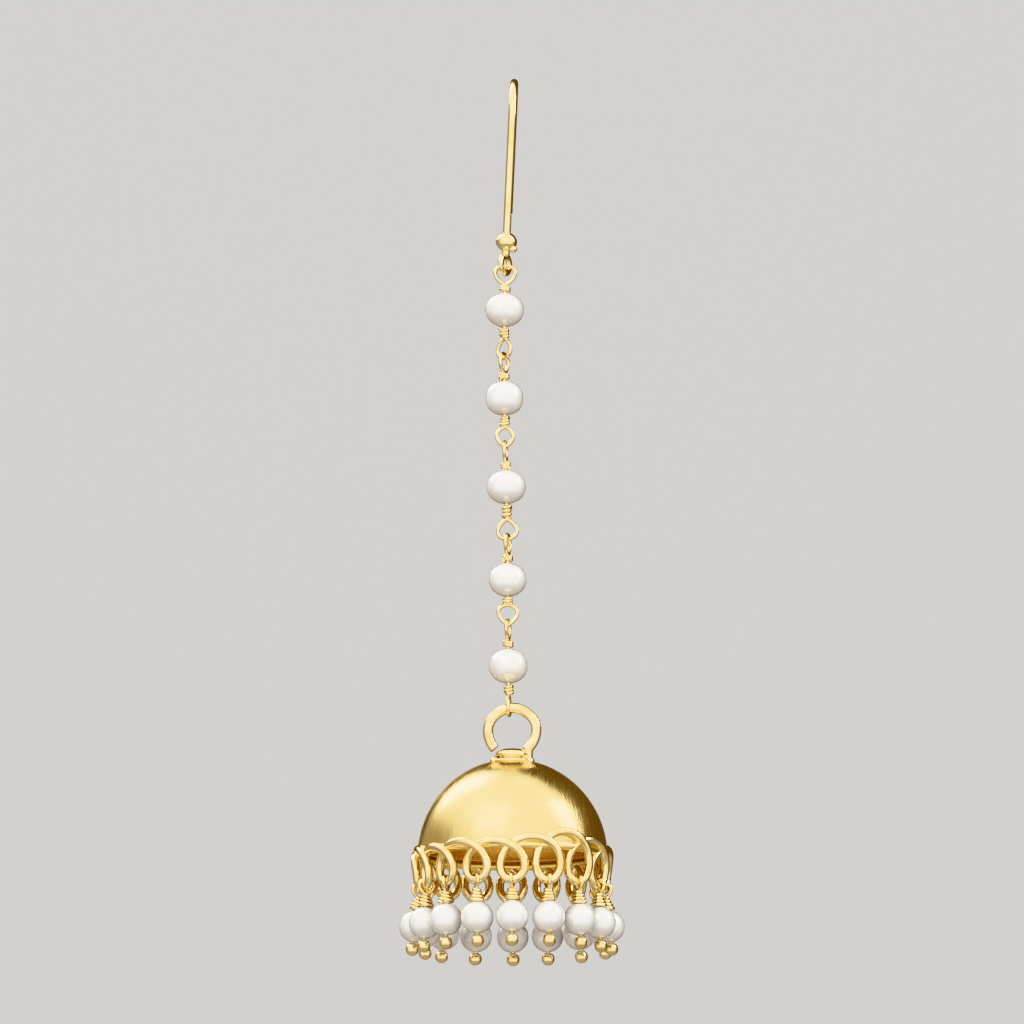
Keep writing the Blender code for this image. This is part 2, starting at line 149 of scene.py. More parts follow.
@dataclass(frozen=True)
class Placement:
    """Where a piece built about its own origin stands.

    A placed point is the origin plus the point's three values along the three axes.
    """

    origin: Array
    axes: Array

    @classmethod
    def along(cls, origin: Array, up: Array, back: Array, turn: float = 0.0) -> "Placement":
        """Stands a piece on an origin.

        Args:
            origin: place of the piece's own origin.
            up: direction of the piece's +Z.
            back: direction that its +Y is nearest to.
            turn: angle that the piece is then turned by about its +Z.

        Returns:
            The placement.
        """
        z_axis = unit(up)
        y_axis = unit(back - np.dot(back, z_axis) * z_axis)
        x_axis = np.cross(y_axis, z_axis)
        turned_x = math.cos(turn) * x_axis + math.sin(turn) * y_axis
        turned_y = math.cos(turn) * y_axis - math.sin(turn) * x_axis
        return cls(origin, np.stack([turned_x, turned_y, z_axis]))

    def put(self, points: Array) -> Array:
        """Points in the piece's own frame, moved to their places."""
        return self.origin + points @ self.axes

    def aim(self, direction: Array) -> Array:
        """A direction in the piece's own frame, turned to its own."""
        return direction @ self.axes


def carried(
    path: Array, radii: Array, reference: Array, sides: int, closed: bool, flat: float = 1.0
) -> Array:
    """Carries a round or flattened section along a path.

    A ring's point at angle a is the path's point plus the radius times (f cos a of the normal
    plus sin a of the binormal). The normal is the part of the reference that is square to the
    path, and f the section's thickness along it as a share of its width.

    Args:
        path: middle line, one point to a row.
        radii: radius of the section at each point of the path.
        reference: a direction that the path never runs along, or one for each of its points.
        sides: points round the section.
        closed: whether the path's last point joins its first.
        flat: the share f.

    Returns:
        A grid of points, one row to each point of the path.
    """
    if closed:
        ahead = np.roll(path, -1, axis=0) - np.roll(path, 1, axis=0)
    else:
        ahead = np.gradient(path, axis=0)
    tangent = unit(ahead)
    normal = unit(reference - np.sum(tangent * reference, axis=1, keepdims=True) * tangent)
    binormal = np.cross(tangent, normal)
    angle = np.linspace(0, TURN, sides, endpoint=False)[None, :, None]
    ring = flat * np.cos(angle) * normal[:, None] + np.sin(angle) * binormal[:, None]
    return path[:, None] + radii[:, None, None] * ring


def rounded_ends(
    path: Array, radius: float, rounding: float, steps: int = 4
) -> tuple[Array, Array]:
    """Draws a wire's two ends in to rounded tips.

    Towards a tip the radius is r sin b at a depth of c (1 - cos b), a quarter of an ellipse.

    Args:
        path: middle line of the wire, up to its tips.
        radius: radius r of the wire.
        rounding: length c of a tip.
        steps: rings in a tip.

    Returns:
        The path with its tips' rings in it, and the radius at each of its points.
    """
    angle = np.linspace(0, math.pi / 2, steps + 1)[1:]
    depth = (rounding * (1 - np.cos(angle)))[:, None]
    tip = radius * np.sin(angle)
    start = path[0] + depth * unit(path[1] - path[0])
    end = path[-1] + depth[::-1] * unit(path[-2] - path[-1])
    points = np.concatenate([start, path[1:-1], end])
    radii = np.concatenate([tip, np.full(len(path) - 2, radius), tip[::-1]])
    return points, radii


def spun(profile: Array, columns: int) -> Array:
    """Turns a section about the Z axis.

    The point in column j is (r cos a, r sin a, z), with a = j turns divided by the columns.

    Args:
        profile: radius and height of each of the section's points, up its outer side.
        columns: points round the axis.

    Returns:
        A grid of points, one row to each point of the section.
    """
    angle = np.linspace(0, TURN, columns, endpoint=False)
    radius, height = profile[:, :1], profile[:, 1:]
    return np.stack(
        [radius * np.cos(angle), radius * np.sin(angle), height + 0 * angle], axis=-1
    )


class Skin:
    """Closed surfaces gathered into one mesh."""

    def __init__(self) -> None:
        """Starts with no points and no faces."""
        self.points: list[Array] = []
        self.corners: list[Array] = []
        self.sizes: list[Array] = []
        self.maps: list[Array] = []
        self.count = 0

    def add_grid(
        self,
        grid: Array,
        ring: bool = False,
        start: Optional[Array] = None,
        end: Optional[Array] = None,
    ) -> None:
        """Adds a grid whose columns run right round.

        Four-sided faces join its rows. Its two ends meet where it is a ring; otherwise a fan of
        triangles closes each. The map is (turns round, millimetres along the first column).

        Args:
            grid: rows by columns of points, going round to the left of the way along.
            ring: whether the last row joins the first.
            start: point that closes the first row, or its middle.
            end: point that closes the last row, or its middle.
        """
        rows, cols = grid.shape[:2]
        closed = np.concatenate([grid[:, 0], grid[:1, 0]])
        steps = np.linalg.norm(np.diff(closed, axis=0), axis=1)
        along = np.concatenate([[0.0], np.cumsum(steps)])
        row = np.arange(rows if ring else rows - 1)[:, None]
        col = np.arange(cols)[None, :]
        here, there = row * cols, (row + 1) % rows * cols
        left, right = col, (col + 1) % cols
        quads = np.stack([here + left, here + right, there + right, there + left], axis=-1)
        u, v = col / cols + 0 * row, along[row] + 0 * col
        u_next, v_next = u + 1 / cols, along[row + 1] + 0 * col
        quad_map = np.stack([u, v, u_next, v, u_next, v_next, u, v_next], axis=-1)
        self._add_faces(quads.reshape(-1, 4), quad_map.reshape(-1, 2))
        points = grid.reshape(-1, 3)
        if not ring:
            first = grid[0].mean(axis=0) if start is None else start
            last = grid[-1].mean(axis=0) if end is None else end
            edge, beside = col[0], (col[0] + 1) % cols
            bottom = np.stack([beside, edge, edge * 0 + rows * cols], axis=-1)
            top = np.stack([edge, beside, edge * 0 + rows * cols + 1], axis=-1)
            top[:, :2] += (rows - 1) * cols
            middle = (edge + 0.5) / cols
            for fan, length in ((bottom, along[0]), (top, along[rows - 1])):
                flat = edge * 0 + length
                fan_map = np.stack([edge / cols, flat, middle, flat, middle, flat], axis=-1)
                self._add_faces(fan, fan_map.reshape(-1, 2))
            points = np.concatenate([points, [first, last]])
        self.points.append(points)
        self.count += len(points)

    def _add_faces(self, faces: Array, face_map: Array) -> None:
        """Keeps faces of one size.

        Args:
            faces: corners of each face, counted from the grid's first point.
            face_map: the map's pair for each corner.
        """
        self.corners.append((faces + self.count).ravel())
        self.sizes.append(np.full(len(faces), faces.shape[1]))
        self.maps.append(face_map)

    def add_wire(
        self,
        path: Array,
        diameter: float,
        reference: Array,
        sides: int = 12,
        closed: bool = False,
        rounding: float = 0.1,
        flat: float = 1.0,
    ) -> None:
        """Adds a round or flattened wire.

        Args:
            path: its middle line, up to its tips.
            diameter: its thickness.
            reference: a direction that it never runs along.
            sides: points round it.
            closed: whether it is a ring.
            rounding: length of its rounded tips.
            flat: its thickness along the reference as a share of its width.
        """
        if closed:
            radii = np.full(len(path), diameter / 2)
            self.add_grid(carried(path, radii, reference, sides, True, flat), ring=True)
        else:
            points, radii = rounded_ends(path, diameter / 2, rounding)
            grid = carried(points, radii, reference, sides, False, flat)
            self.add_grid(grid, start=path[0], end=path[-1])

    def to_object(self, name: str, finish: Material) -> Piece:
        """Writes the mesh.

        Args:
            name: name of the new object.
            finish: its material.

        Returns:
            The object, linked to the scene.
        """
        points = np.concatenate(self.points) * MM
        corners = np.concatenate(self.corners)
        sizes = np.concatenate(self.sizes)
        mesh = bpy.data.meshes.new(name)
        mesh.vertices.add(len(points))
        mesh.vertices.foreach_set("co", points.astype(np.float32).ravel())
        mesh.loops.add(len(corners))
        mesh.loops.foreach_set("vertex_index", corners.astype(np.int32))
        mesh.polygons.add(len(sizes))
        mesh.polygons.foreach_set("loop_start", (np.cumsum(sizes) - sizes).astype(np.int32))
        mesh.polygons.foreach_set("use_smooth", np.ones(len(sizes), bool))
        mesh.update(calc_edges=True)
        layer = mesh.uv_layers.new(name=SURFACE_MAP)
        layer.data.foreach_set("uv", np.concatenate(self.maps).astype(np.float32).ravel())
        mesh.validate()
        mesh.materials.append(finish)
        item = bpy.data.objects.new(name, mesh)
        bpy.context.scene.collection.objects.link(item)
        return item


def fit(item: Piece, body: Body, slot: Slot, *nodes: str) -> None:
    """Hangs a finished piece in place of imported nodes.

    Args:
        item: the piece.
        body: the body that it moves with.
        slot: the record's slot that it is finished as.
        nodes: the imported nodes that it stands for.
    """
    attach(item, body.value)
    if nodes:
        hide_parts(*nodes)
    faces = len(item.data.polygons)
    log.info("%s: %d faces on %s, finished as %s", item.name, faces, body.value, slot.value)


class Graph:
    """Nodes of a material or of the world, added and joined one after another."""

    def __init__(self, owner: bpy.types.ID, shader: str = "Principled BSDF") -> None:
        """Turns the owner's nodes on and finds its shader.

        Args:
            owner: the material or the world.
            shader: name of its shader's node.
        """
        owner.use_nodes = True
        self.owner = owner
        self.tree = owner.node_tree
        self.shader = self.tree.nodes[shader]

    def feed(self, socket: Socket, value: object) -> None:
        """Joins an input to another node's socket, or sets it to a plain value.

        Args:
            socket: the input.
            value: the other node's socket or the plain value.
        """
        if isinstance(value, Socket):
            self.tree.links.new(value, socket)
        else:
            socket.default_value = value

    def add(self, kind: str, settings: Optional[dict] = None, **inputs: object) -> bpy.types.Node:
        """Adds a node.

        Args:
            kind: the node's type.
            settings: its options by name.
            inputs: values or sockets for its inputs, by name with _ for a space; in_0 and so on
                name an input by its number.

        Returns:
            The node.
        """
        node = self.tree.nodes.new(kind)
        for option, value in (settings or {}).items():
            setattr(node, option, value)
        for key, value in inputs.items():
            name = int(key[3:]) if key.startswith("in_") else key.replace("_", " ")
            self.feed(node.inputs[name], value)
        return node

    def place(self) -> Socket:
        """Place on the surface, in the object's own metres."""
        return self.add("ShaderNodeTexCoord").outputs["Object"]

    def noise(self, place: Socket, size: float, detail: float = 2.0) -> Socket:
        """Soft random patches.

        Args:
            place: the place that they are read at, in metres.
            size: how wide a patch is, in millimetres.
            detail: how many finer layers it has.

        Returns:
            A value from 0 to 1.
        """
        node = self.add("ShaderNodeTexNoise", Vector=place, Scale=1 / (size * MM), Detail=detail)
        return node.outputs["Fac"]

    def spread(self, value: Socket, low: float, high: float) -> Socket:
        """Stretches a noise's middle half over a range.

        Args:
            value: the noise.
            low: what its low patches give.
            high: what its high patches give.

        Returns:
            The stretched value.
        """
        ends = {"in_1": NOISE_LOW, "in_2": NOISE_HIGH, "in_3": low, "in_4": high}
        return self.add("ShaderNodeMapRange", in_0=value, **ends).outputs["Result"]

    def step(self, value: Socket, start: float, end: float) -> Socket:
        """Smooth step of a value: 0 up to the start and 1 from the end on.

        Args:
            value: the value.
            start: where the step starts.
            end: where it ends, above or below the start.

        Returns:
            The step, from 0 to 1.
        """
        smooth = {"interpolation_type": "SMOOTHSTEP"}
        node = self.add("ShaderNodeMapRange", smooth, in_0=value, in_1=start, in_2=end)
        return node.outputs["Result"]

    def blend(self, share: Socket, first: object, second: object) -> Socket:
        """Mixes two colours.

        Args:
            share: 0 for the first and 1 for the second.
            first: a colour or a socket.
            second: a colour or a socket.

        Returns:
            The mixed colour.
        """
        mix = self.add("ShaderNodeMix", {"data_type": "RGBA"})
        for number, value in ((0, share), (6, first), (7, second)):
            self.feed(mix.inputs[number], value)
        return mix.outputs[2]

    def maths(self, operation: str, first: object, second: object) -> Socket:
        """Result of a sum on two values or sockets, such as ADD or MULTIPLY."""
        node = self.add("ShaderNodeMath", {"operation": operation}, in_0=first, in_1=second)
        return node.outputs["Value"]

    def surface(self, **inputs: object) -> None:
        """Sets the shader's inputs.

        Args:
            inputs: values or sockets by name, with _ for a space.
        """
        for key, value in inputs.items():
            self.feed(self.shader.inputs[key.replace("_", " ")], value)

    def relief(self, height: Socket, depth: float) -> None:
        """Raises the surface by a height from 0 to 1 times a depth in millimetres."""
        bump = self.add("ShaderNodeBump", Strength=1.0, Distance=depth * MM, Height=height)
        self.surface(Normal=bump.outputs["Normal"])


@dataclass(frozen=True)
class BrightGold:
    """Gold plate on wire: bright, with drawing marks, and duller and redder in patches."""

    name: str
    light: Colour
    deep: Colour
    roughness: tuple[float, float]
    patch: float = 1.6
    mark: float = 0.22
    mark_depth: float = 0.002

    def material(self) -> Material:
        """Builds the material.

        Colour and roughness follow slow patches, and the surface is marked by a finer noise.

        Returns:
            The material.
        """
        graph = Graph(bpy.data.materials.new(self.name))
        place = graph.place()
        patches = graph.noise(place, self.patch)
        marks = graph.noise(place, self.mark, 3.0)
        worn = graph.maths("MULTIPLY", graph.spread(patches, 0, 1), graph.spread(marks, 0.6, 1))
        graph.surface(
            Base_Color=graph.blend(worn, self.light, self.deep),
            Metallic=1.0,
            Roughness=graph.spread(marks, *self.roughness),
        )
        graph.relief(marks, self.mark_depth)
        return graph.owner


@dataclass(frozen=True)
class BrushedGold:
    """Gold plate on the dome: satin, scratch-brushed down from the crown and across it."""

    name: str
    light: Colour
    deep: Colour
    roughness: tuple[float, float]
    crown: Array
    radius: float
    rim_along: float
    # Painted shade: a darker, redder gold for the hollow inside of the dome.
    inside: Colour
    stroke_width: float = 0.22
    stroke_length: float = 2.4
    stroke_depth: float = 0.028
    cross_twist: float = 75.0
    patch: float = 2.4
    rim_fade: float = 0.6

    def strokes(self, graph: Graph, twist: float) -> Socket:
        """Lays brush strokes along lines that wind down from the crown.

        The noise is read at (r cos(a + t d) / w, r sin(a + t d) / w, d / l): a is the angle
        about the axis, d the distance from the crown, t the twist, w and l a stroke's width and
        length. It meets itself all round, so it has no seam.

        Args:
            graph: the material's nodes.
            twist: turn of the strokes about the axis, in radians per metre.

        Returns:
            The strokes' height, from 0 to 1.
        """
        place = graph.place()
        flat = graph.add("ShaderNodeVectorMath", {"operation": "MULTIPLY"}, in_0=place)
        flat.inputs[1].default_value = (1, 1, 0)
        out = graph.add("ShaderNodeVectorMath", {"operation": "NORMALIZE"}, in_0=flat.outputs[0])
        fall = graph.add("ShaderNodeVectorMath", {"operation": "DISTANCE"}, in_0=place)
        fall.inputs[1].default_value = tuple(self.crown * MM)
        distance = fall.outputs["Value"]
        wound = graph.add(
            "ShaderNodeVectorRotate",
            {"rotation_type": "Z_AXIS"},
            Vector=out.outputs[0],
            Angle=graph.maths("MULTIPLY", distance, twist),
        )
        wide = graph.add("ShaderNodeVectorMath", {"operation": "SCALE"}, in_0=wound.outputs[0])
        wide.inputs["Scale"].default_value = self.radius / self.stroke_width
        long = graph.maths("MULTIPLY", distance, 1 / (self.stroke_length * MM))
        lift = graph.add("ShaderNodeCombineXYZ", Z=long)
        spot = graph.add(
            "ShaderNodeVectorMath", {"operation": "ADD"}, in_0=wide.outputs[0], in_1=lift.outputs[0]
        )
        noise = graph.add("ShaderNodeTexNoise", Vector=spot.outputs[0], Scale=1.0, Detail=2.0)
        return noise.outputs["Fac"]

    def material(self) -> Material:
        """Builds the material.

        Strokes down the dome and strokes across it take turns in soft patches. They mark the
        surface and its roughness, and the patches also shift its colour. The shell's map tells
        how far along the section a place is: up to the rim the colour is the inside's, a darker
        redder gold that is painted shade, which fades into the outside's within a short way.

        Returns:
            The material.
        """
        graph = Graph(bpy.data.materials.new(self.name))
        patches = graph.noise(graph.place(), self.patch)
        down = self.strokes(graph, 0.0)
        across = self.strokes(graph, self.cross_twist)
        share = graph.spread(patches, 0, 1)
        kind = {"data_type": "FLOAT"}
        strokes = graph.add("ShaderNodeMix", kind, in_0=share, in_2=down, in_3=across)
        height = strokes.outputs[0]
        rubbed = graph.spread(height, 0.7, 0.2)
        worn = graph.maths("MULTIPLY", graph.spread(patches, 0.2, 1), rubbed)
        shell_map = graph.add("ShaderNodeUVMap", {"uv_map": SURFACE_MAP})
        along = graph.add("ShaderNodeSeparateXYZ", Vector=shell_map.outputs["UV"]).outputs["Y"]
        outside = graph.step(along, self.rim_along, self.rim_along + self.rim_fade)
        # Painted shade: up to the rim the colour is the inside's darker, redder gold.
        colour = graph.blend(outside, self.inside, graph.blend(worn, self.light, self.deep))
        graph.surface(
            Base_Color=colour, Metallic=1.0, Roughness=graph.spread(height, *self.roughness)
        )
        graph.relief(height, self.stroke_depth)
        return graph.owner


@dataclass(frozen=True)
class PearlLustre:
    """Pearl coating: white with cool and warm patches, a soft gloss and a warm edge."""

    name: str
    white: Colour
    cool: Colour
    warm: Colour
    roughness: tuple[float, float]
    edge_tint: Colour
    patch: float = 1.5
    warm_patch: float = 1.05
    ripple: float = 0.9
    ripple_depth: float = 0.008

    def material(self) -> Material:
        """Builds the material.

        Slow patches turn the white cool, others turn it warm, and faint ripples break the gloss.

        Returns:
            The material.
        """
        graph = Graph(bpy.data.materials.new(self.name))
        place = graph.place()
        patches = graph.noise(place, self.patch)
        others = graph.noise(place, self.warm_patch)
        ripples = graph.noise(place, self.ripple)
        cooled = graph.blend(graph.spread(patches, 0, 1), self.white, self.cool)
        graph.surface(
            Base_Color=graph.blend(graph.spread(others, 0, 0.6), cooled, self.warm),
            IOR=2.3,
            Roughness=graph.spread(ripples, *self.roughness),
            Coat_Weight=0.9,
            Coat_Roughness=0.12,
            Coat_IOR=1.7,
            Sheen_Weight=0.1,
            Sheen_Roughness=0.4,
            Sheen_Tint=self.edge_tint,
        )
        graph.relief(ripples, self.ripple_depth)
        return graph.owner


@dataclass(frozen=True)
class StudioPaper:
    """Pale paper of the studio's floor and backdrop."""

    name: str
    pale: Colour
    shade: Colour
    glow: float = 1.4
    grain: float = 1.2

    def material(self) -> Material:
        """Builds the material: a faint grain between two pale greys, lit through from behind.

        Returns:
            The material.
        """
        graph = Graph(bpy.data.materials.new(self.name))
        grain = graph.noise(graph.place(), self.grain)
        tint = graph.blend(grain, self.pale, self.shade)
        graph.surface(
            Base_Color=tint, Roughness=0.9, Emission_Color=tint, Emission_Strength=self.glow
        )
        return graph.owner


@dataclass
class EarHook:
    """Fish-hook ear wire with a round eye at its foot and a bead on its leg.

    Its wire lies in one plane, which leans to the left so that the eye hangs beside the arch.
    Across, hang and rise are places from the arch's inside top or from the eye. The bead reaches
    to a share of a whole ball, and the lobe's seat is in shares of the bead's radius.
    """

    wire: float = 0.84
    arch_radius: float = 4.2
    hang: float = 19.7
    eye_across: float = -0.95
    rear_leg: float = 8.0
    tail_radius: float = 6.0
    tail_bend: float = math.radians(24)
    eye_width: float = 2.6
    eye_turn: float = math.radians(30)
    eye_flat: float = 0.6
    bead_width: float = 2.3
    bead_tall: float = 2.1
    bead_rise: float = 2.4
    bead_reach: float = 0.86
    bead_narrowing: float = 0.25
    bead_grip: float = 0.04
    lobe_width: float = 0.84
    lobe_flat: float = 0.9
    lobe_seat: tuple[float, float, float] = (0.66, -0.3, -0.62)

    def __post_init__(self) -> None:
        """Works out the plane that the wire lies in and the direction of its leg."""
        lean = math.asin(self.eye_across / self.hang)
        right = RIGHT * math.cos(lean) + UP * math.sin(lean)
        up = UP * math.cos(lean) - RIGHT * math.sin(lean)
        self.plane = Placement(np.zeros(3), np.array([right, BACK, up]))
        self.arch_height = self.wire / 2 - self.arch_radius
        self.slant = math.asin(self.arch_radius / (self.hang + self.arch_height))
        self.leg = np.array([0, -math.sin(self.slant), math.cos(self.slant)])
        self.outward = np.array([0, math.cos(self.slant), math.sin(self.slant)])
        self.eye = np.array([0, 0, -self.hang])
        self.eye_radius = (self.eye_width - self.wire) / 2

    def path(self) -> Array:
        """Middle line of the wire, from the eye up the leg, over the arch and down to the tip.

        The leg is straight, the arch half a circle, the rear leg straight, and the tail an arc
        that bends outward.

        Returns:
            The line's points in the wire's own plane.
        """
        foot = self.eye + self.leg * (self.eye_radius - self.wire / 8)
        turn = np.linspace(math.pi + self.slant, self.slant, 49)[:, None]
        centre = UP * self.arch_height
        arch = centre + self.arch_radius * (BACK * np.cos(turn) + UP * np.sin(turn))
        front = foot + np.linspace(0, 1, 24, endpoint=False)[:, None] * (arch[0] - foot)
        rear = arch[-1] - self.leg * np.linspace(0, self.rear_leg, 18)[1:, None]
        bend = np.linspace(0, self.tail_bend, 12)[1:, None]
        curve = -self.leg * np.sin(bend) + self.outward * (1 - np.cos(bend))
        return np.concatenate([front, arch, rear, rear[-1] + self.tail_radius * curve])

    def eye_path(self) -> Array:
        """Middle line of the eye: a circle in a plane turned a little from the wire's own.

        Returns:
            The points of a closed line, in the wire's own plane.
        """
        angle = np.linspace(0, TURN, 48, endpoint=False)[:, None]
        across = RIGHT * math.sin(self.eye_turn) + BACK * math.cos(self.eye_turn)
        return self.eye + self.eye_radius * (across * np.cos(angle) + UP * np.sin(angle))

    def build(self, finish: Material) -> Piece:
        """Makes the wire and its eye.

        Args:
            finish: its material.

        Returns:
            The hook.
        """
        skin = Skin()
        line, eye = self.plane.put(self.path()), self.plane.put(self.eye_path())
        skin.add_wire(line, self.wire, self.plane.aim(RIGHT), 20, rounding=0.3)
        square = RIGHT * math.cos(self.eye_turn) - BACK * math.sin(self.eye_turn)
        skin.add_wire(eye, self.wire, self.plane.aim(square), 20, closed=True, flat=self.eye_flat)
        return skin.to_object("ear_hook_wire", finish)

    def build_bead(self, finish: Material) -> Piece:
        """Makes the bead on the leg.

        The bead is a flattened ball that narrows downward: its radius at angle b is w/2 cos b
        times (1 - n sin^2 b) below its middle, at a height of h/2 sin b. Its bore grips the wire
        a little. A lobe of solder sits at its lower right.

        Args:
            finish: its material.

        Returns:
            The bead.
        """
        tilt = np.linspace(-self.bead_reach, self.bead_reach, 28) * math.pi / 2
        narrow = 1 - self.bead_narrowing * np.clip(-np.sin(tilt), 0, 1) ** 2
        half, hole = self.bead_width / 2, self.wire / 2 - self.bead_grip
        height = self.bead_tall / 2 * np.sin(tilt)
        profile = np.stack([half * np.cos(tilt) * narrow, height], axis=-1)
        bore = np.array([[hole, height[-1]], [hole, height[0]]])
        bead = Placement.along(self.eye + self.leg * self.bead_rise, self.leg, BACK)
        ball = spun(np.concatenate([profile, bore]), 40)
        skin = Skin()
        skin.add_grid(self.plane.put(bead.put(ball)), ring=True)
        lobe = ball_grid(self.lobe_width, self.lobe_width * self.lobe_flat, 20, 12)
        skin.add_grid(self.plane.put(bead.put(lobe + half * np.array(self.lobe_seat))))
        return skin.to_object("hook_bead_ball", finish)

    def dress(self, finish: Material) -> None:
        """Builds the hook and its bead in the finish and hangs both on the chain's body."""
        fit(self.build(finish), Body.CHAIN, Slot.POLISHED, "ear_hook")
        fit(self.build_bead(finish), Body.CHAIN, Slot.POLISHED, "hook_bead")


def ball_grid(width: float, height: float, columns: int, rows: int) -> Array:
    """Makes a ball about the origin.

    The point at angles a round and b up is (w/2 cos b cos a, w/2 cos b sin a, h/2 sin b). The
    rows stop short of the poles, which a fan closes.

    Args:
        width: its width w.
        height: its height h.
        columns: points round it.
        rows: rows between its poles.

    Returns:
        A grid of points.
    """
    tilt = (np.arange(rows) + 0.5) / rows * math.pi - math.pi / 2
    return spun(np.stack([width / 2 * np.cos(tilt), height / 2 * np.sin(tilt)], axis=-1), columns)


@dataclass(frozen=True)
class DrilledPearl:
    """Shape of a pearl drilled along Z."""

    width: float = 4.15
    height: float = 3.7
    bore: float = 0.24
    square: float = 0.92
    uneven: float = 0.006
    columns: int = 56

    def grid(self, seed: int) -> Array:
        """Makes the pearl about the origin.

        At angle b up, its radius is w/2 times cos b to the power s and its height h/2 times
        sin b to the power s, so a power under 1 squares its shoulders. Three slow waves round
        and up it, with random phases, make its surface uneven. A straight bore joins its ends.

        Args:
            seed: seed of the phases.

        Returns:
            A grid of points that is a ring along its rows.
        """
        phase = random.Random(seed)
        limit = math.acos((2 * self.bore / self.width) ** (1 / self.square))
        tilt = np.linspace(-limit, limit, 40)
        radius = self.width / 2 * np.cos(tilt) ** self.square
        rise = self.height / 2 * np.sign(np.sin(tilt)) * np.abs(np.sin(tilt)) ** self.square
        grid = spun(np.stack([radius, rise], axis=-1), self.columns)
        angle = np.linspace(0, TURN, self.columns, endpoint=False)[None, :]
        level = rise[:, None] / self.height * math.pi
        waves = 0 * angle
        for count, slope, size in ((2, 1, 1.0), (3, -2, 0.7), (5, 3, 0.5)):
            wave = np.sin(count * angle + slope * level + phase.uniform(0, TURN))
            waves = waves + size * wave
        grid = grid * (1 + self.uneven * waves * np.cos(level) ** 2)[:, :, None]
        rim = grid[[-1, 0]]
        wall = np.linspace(0, 1, 6)[1:-1, None, None]
        return np.concatenate([grid, rim[0] + wall * (rim[1] - rim[0])])


@dataclass(frozen=True)
class WireLoop:
    """Shape of one wire loop: how far it is turned from the front and how pointed its ends are.

    An end's power is 0 for a round end, and grows to 1 for one that closes in a sharp V.
    """

    turn: float
    neck: float = 0.5
    far: float = 0.0
    width: float = 2.45

    def path(self, start: float, end: float, wire: float) -> Array:
        """Middle line of the loop, which stands on the Z axis between two heights.

        At t, from 0 at the neck to a turn, it is r sin t |sin t/2|^n |cos t/2|^f to the side,
        scaled so that its widest place is half the width, and (1 - cos t) / 2 of the way from
        the neck to the far end. The powers n and f are those of the neck and of the far end.

        Args:
            start: height of the neck.
            end: height of the far end, above or below the neck.
            wire: thickness of the wire.

        Returns:
            The points of a closed line.
        """
        angle = np.linspace(0, TURN, 64, endpoint=False)
        across = np.sin(angle) * np.abs(np.sin(angle / 2)) ** self.neck
        across = across * np.abs(np.cos(angle / 2)) ** self.far
        side = across / across.max() * (self.width - wire) / 2
        about = math.radians(self.turn)
        height = start + (end - start) * (1 - np.cos(angle)) / 2
        return np.stack([side * math.cos(about), side * math.sin(about), height], axis=-1)

    def square(self) -> Array:
        """Direction square to the loop's plane."""
        about = math.radians(self.turn)
        return np.array([-math.sin(about), math.cos(about), 0])


@dataclass(frozen=True)
class WireWrap:
    """Turns of wire wound about a shank, ending in a cut tip that stands off a little."""

    turns: float
    start_turn: float
    tip: float = 0.42
    tip_rise: float = 0.0
    flare: float = 0.0
    snug: float = 0.84
    slack: float = 0.06
    slack_pace: float = 2.3
    start_share: float = 0.35
    start_pace: float = 5.0

    def path(self, start: float, end: float, wire: float) -> Array:
        """Middle line of the wrap, wound from one height to the other.

        At angle a the radius is the wire's thickness times (snug + slack sin p a), plus the
        flare's share so far, and the height runs evenly. It starts inside the shank, at a share
        of that radius, and ends in a straight tip along its last direction.

        Args:
            start: height of its first turn's middle line.
            end: height of its last.
            wire: thickness of the wire.

        Returns:
            The line's points.
        """
        share = np.linspace(0, 1, int(28 * self.turns) + 1)
        angle = math.radians(self.start_turn) + TURN * self.turns * share
        begin = np.clip(share * self.turns * self.start_pace, self.start_share, 1)
        lay = wire * (self.snug + self.slack * np.sin(self.slack_pace * angle))
        radius = (lay + self.flare * share) * begin
        height = start + (end - start) * share
        coil = np.stack([radius * np.cos(angle), radius * np.sin(angle), height], axis=-1)
        last = unit(coil[-1] - coil[-2])
        length = np.linspace(0, self.tip, 6)[1:, None]
        lift = UP * self.tip_rise * (length / max(self.tip, 1e-6)) ** 2
        return np.concatenate([coil, coil[-1] + last * length + lift])


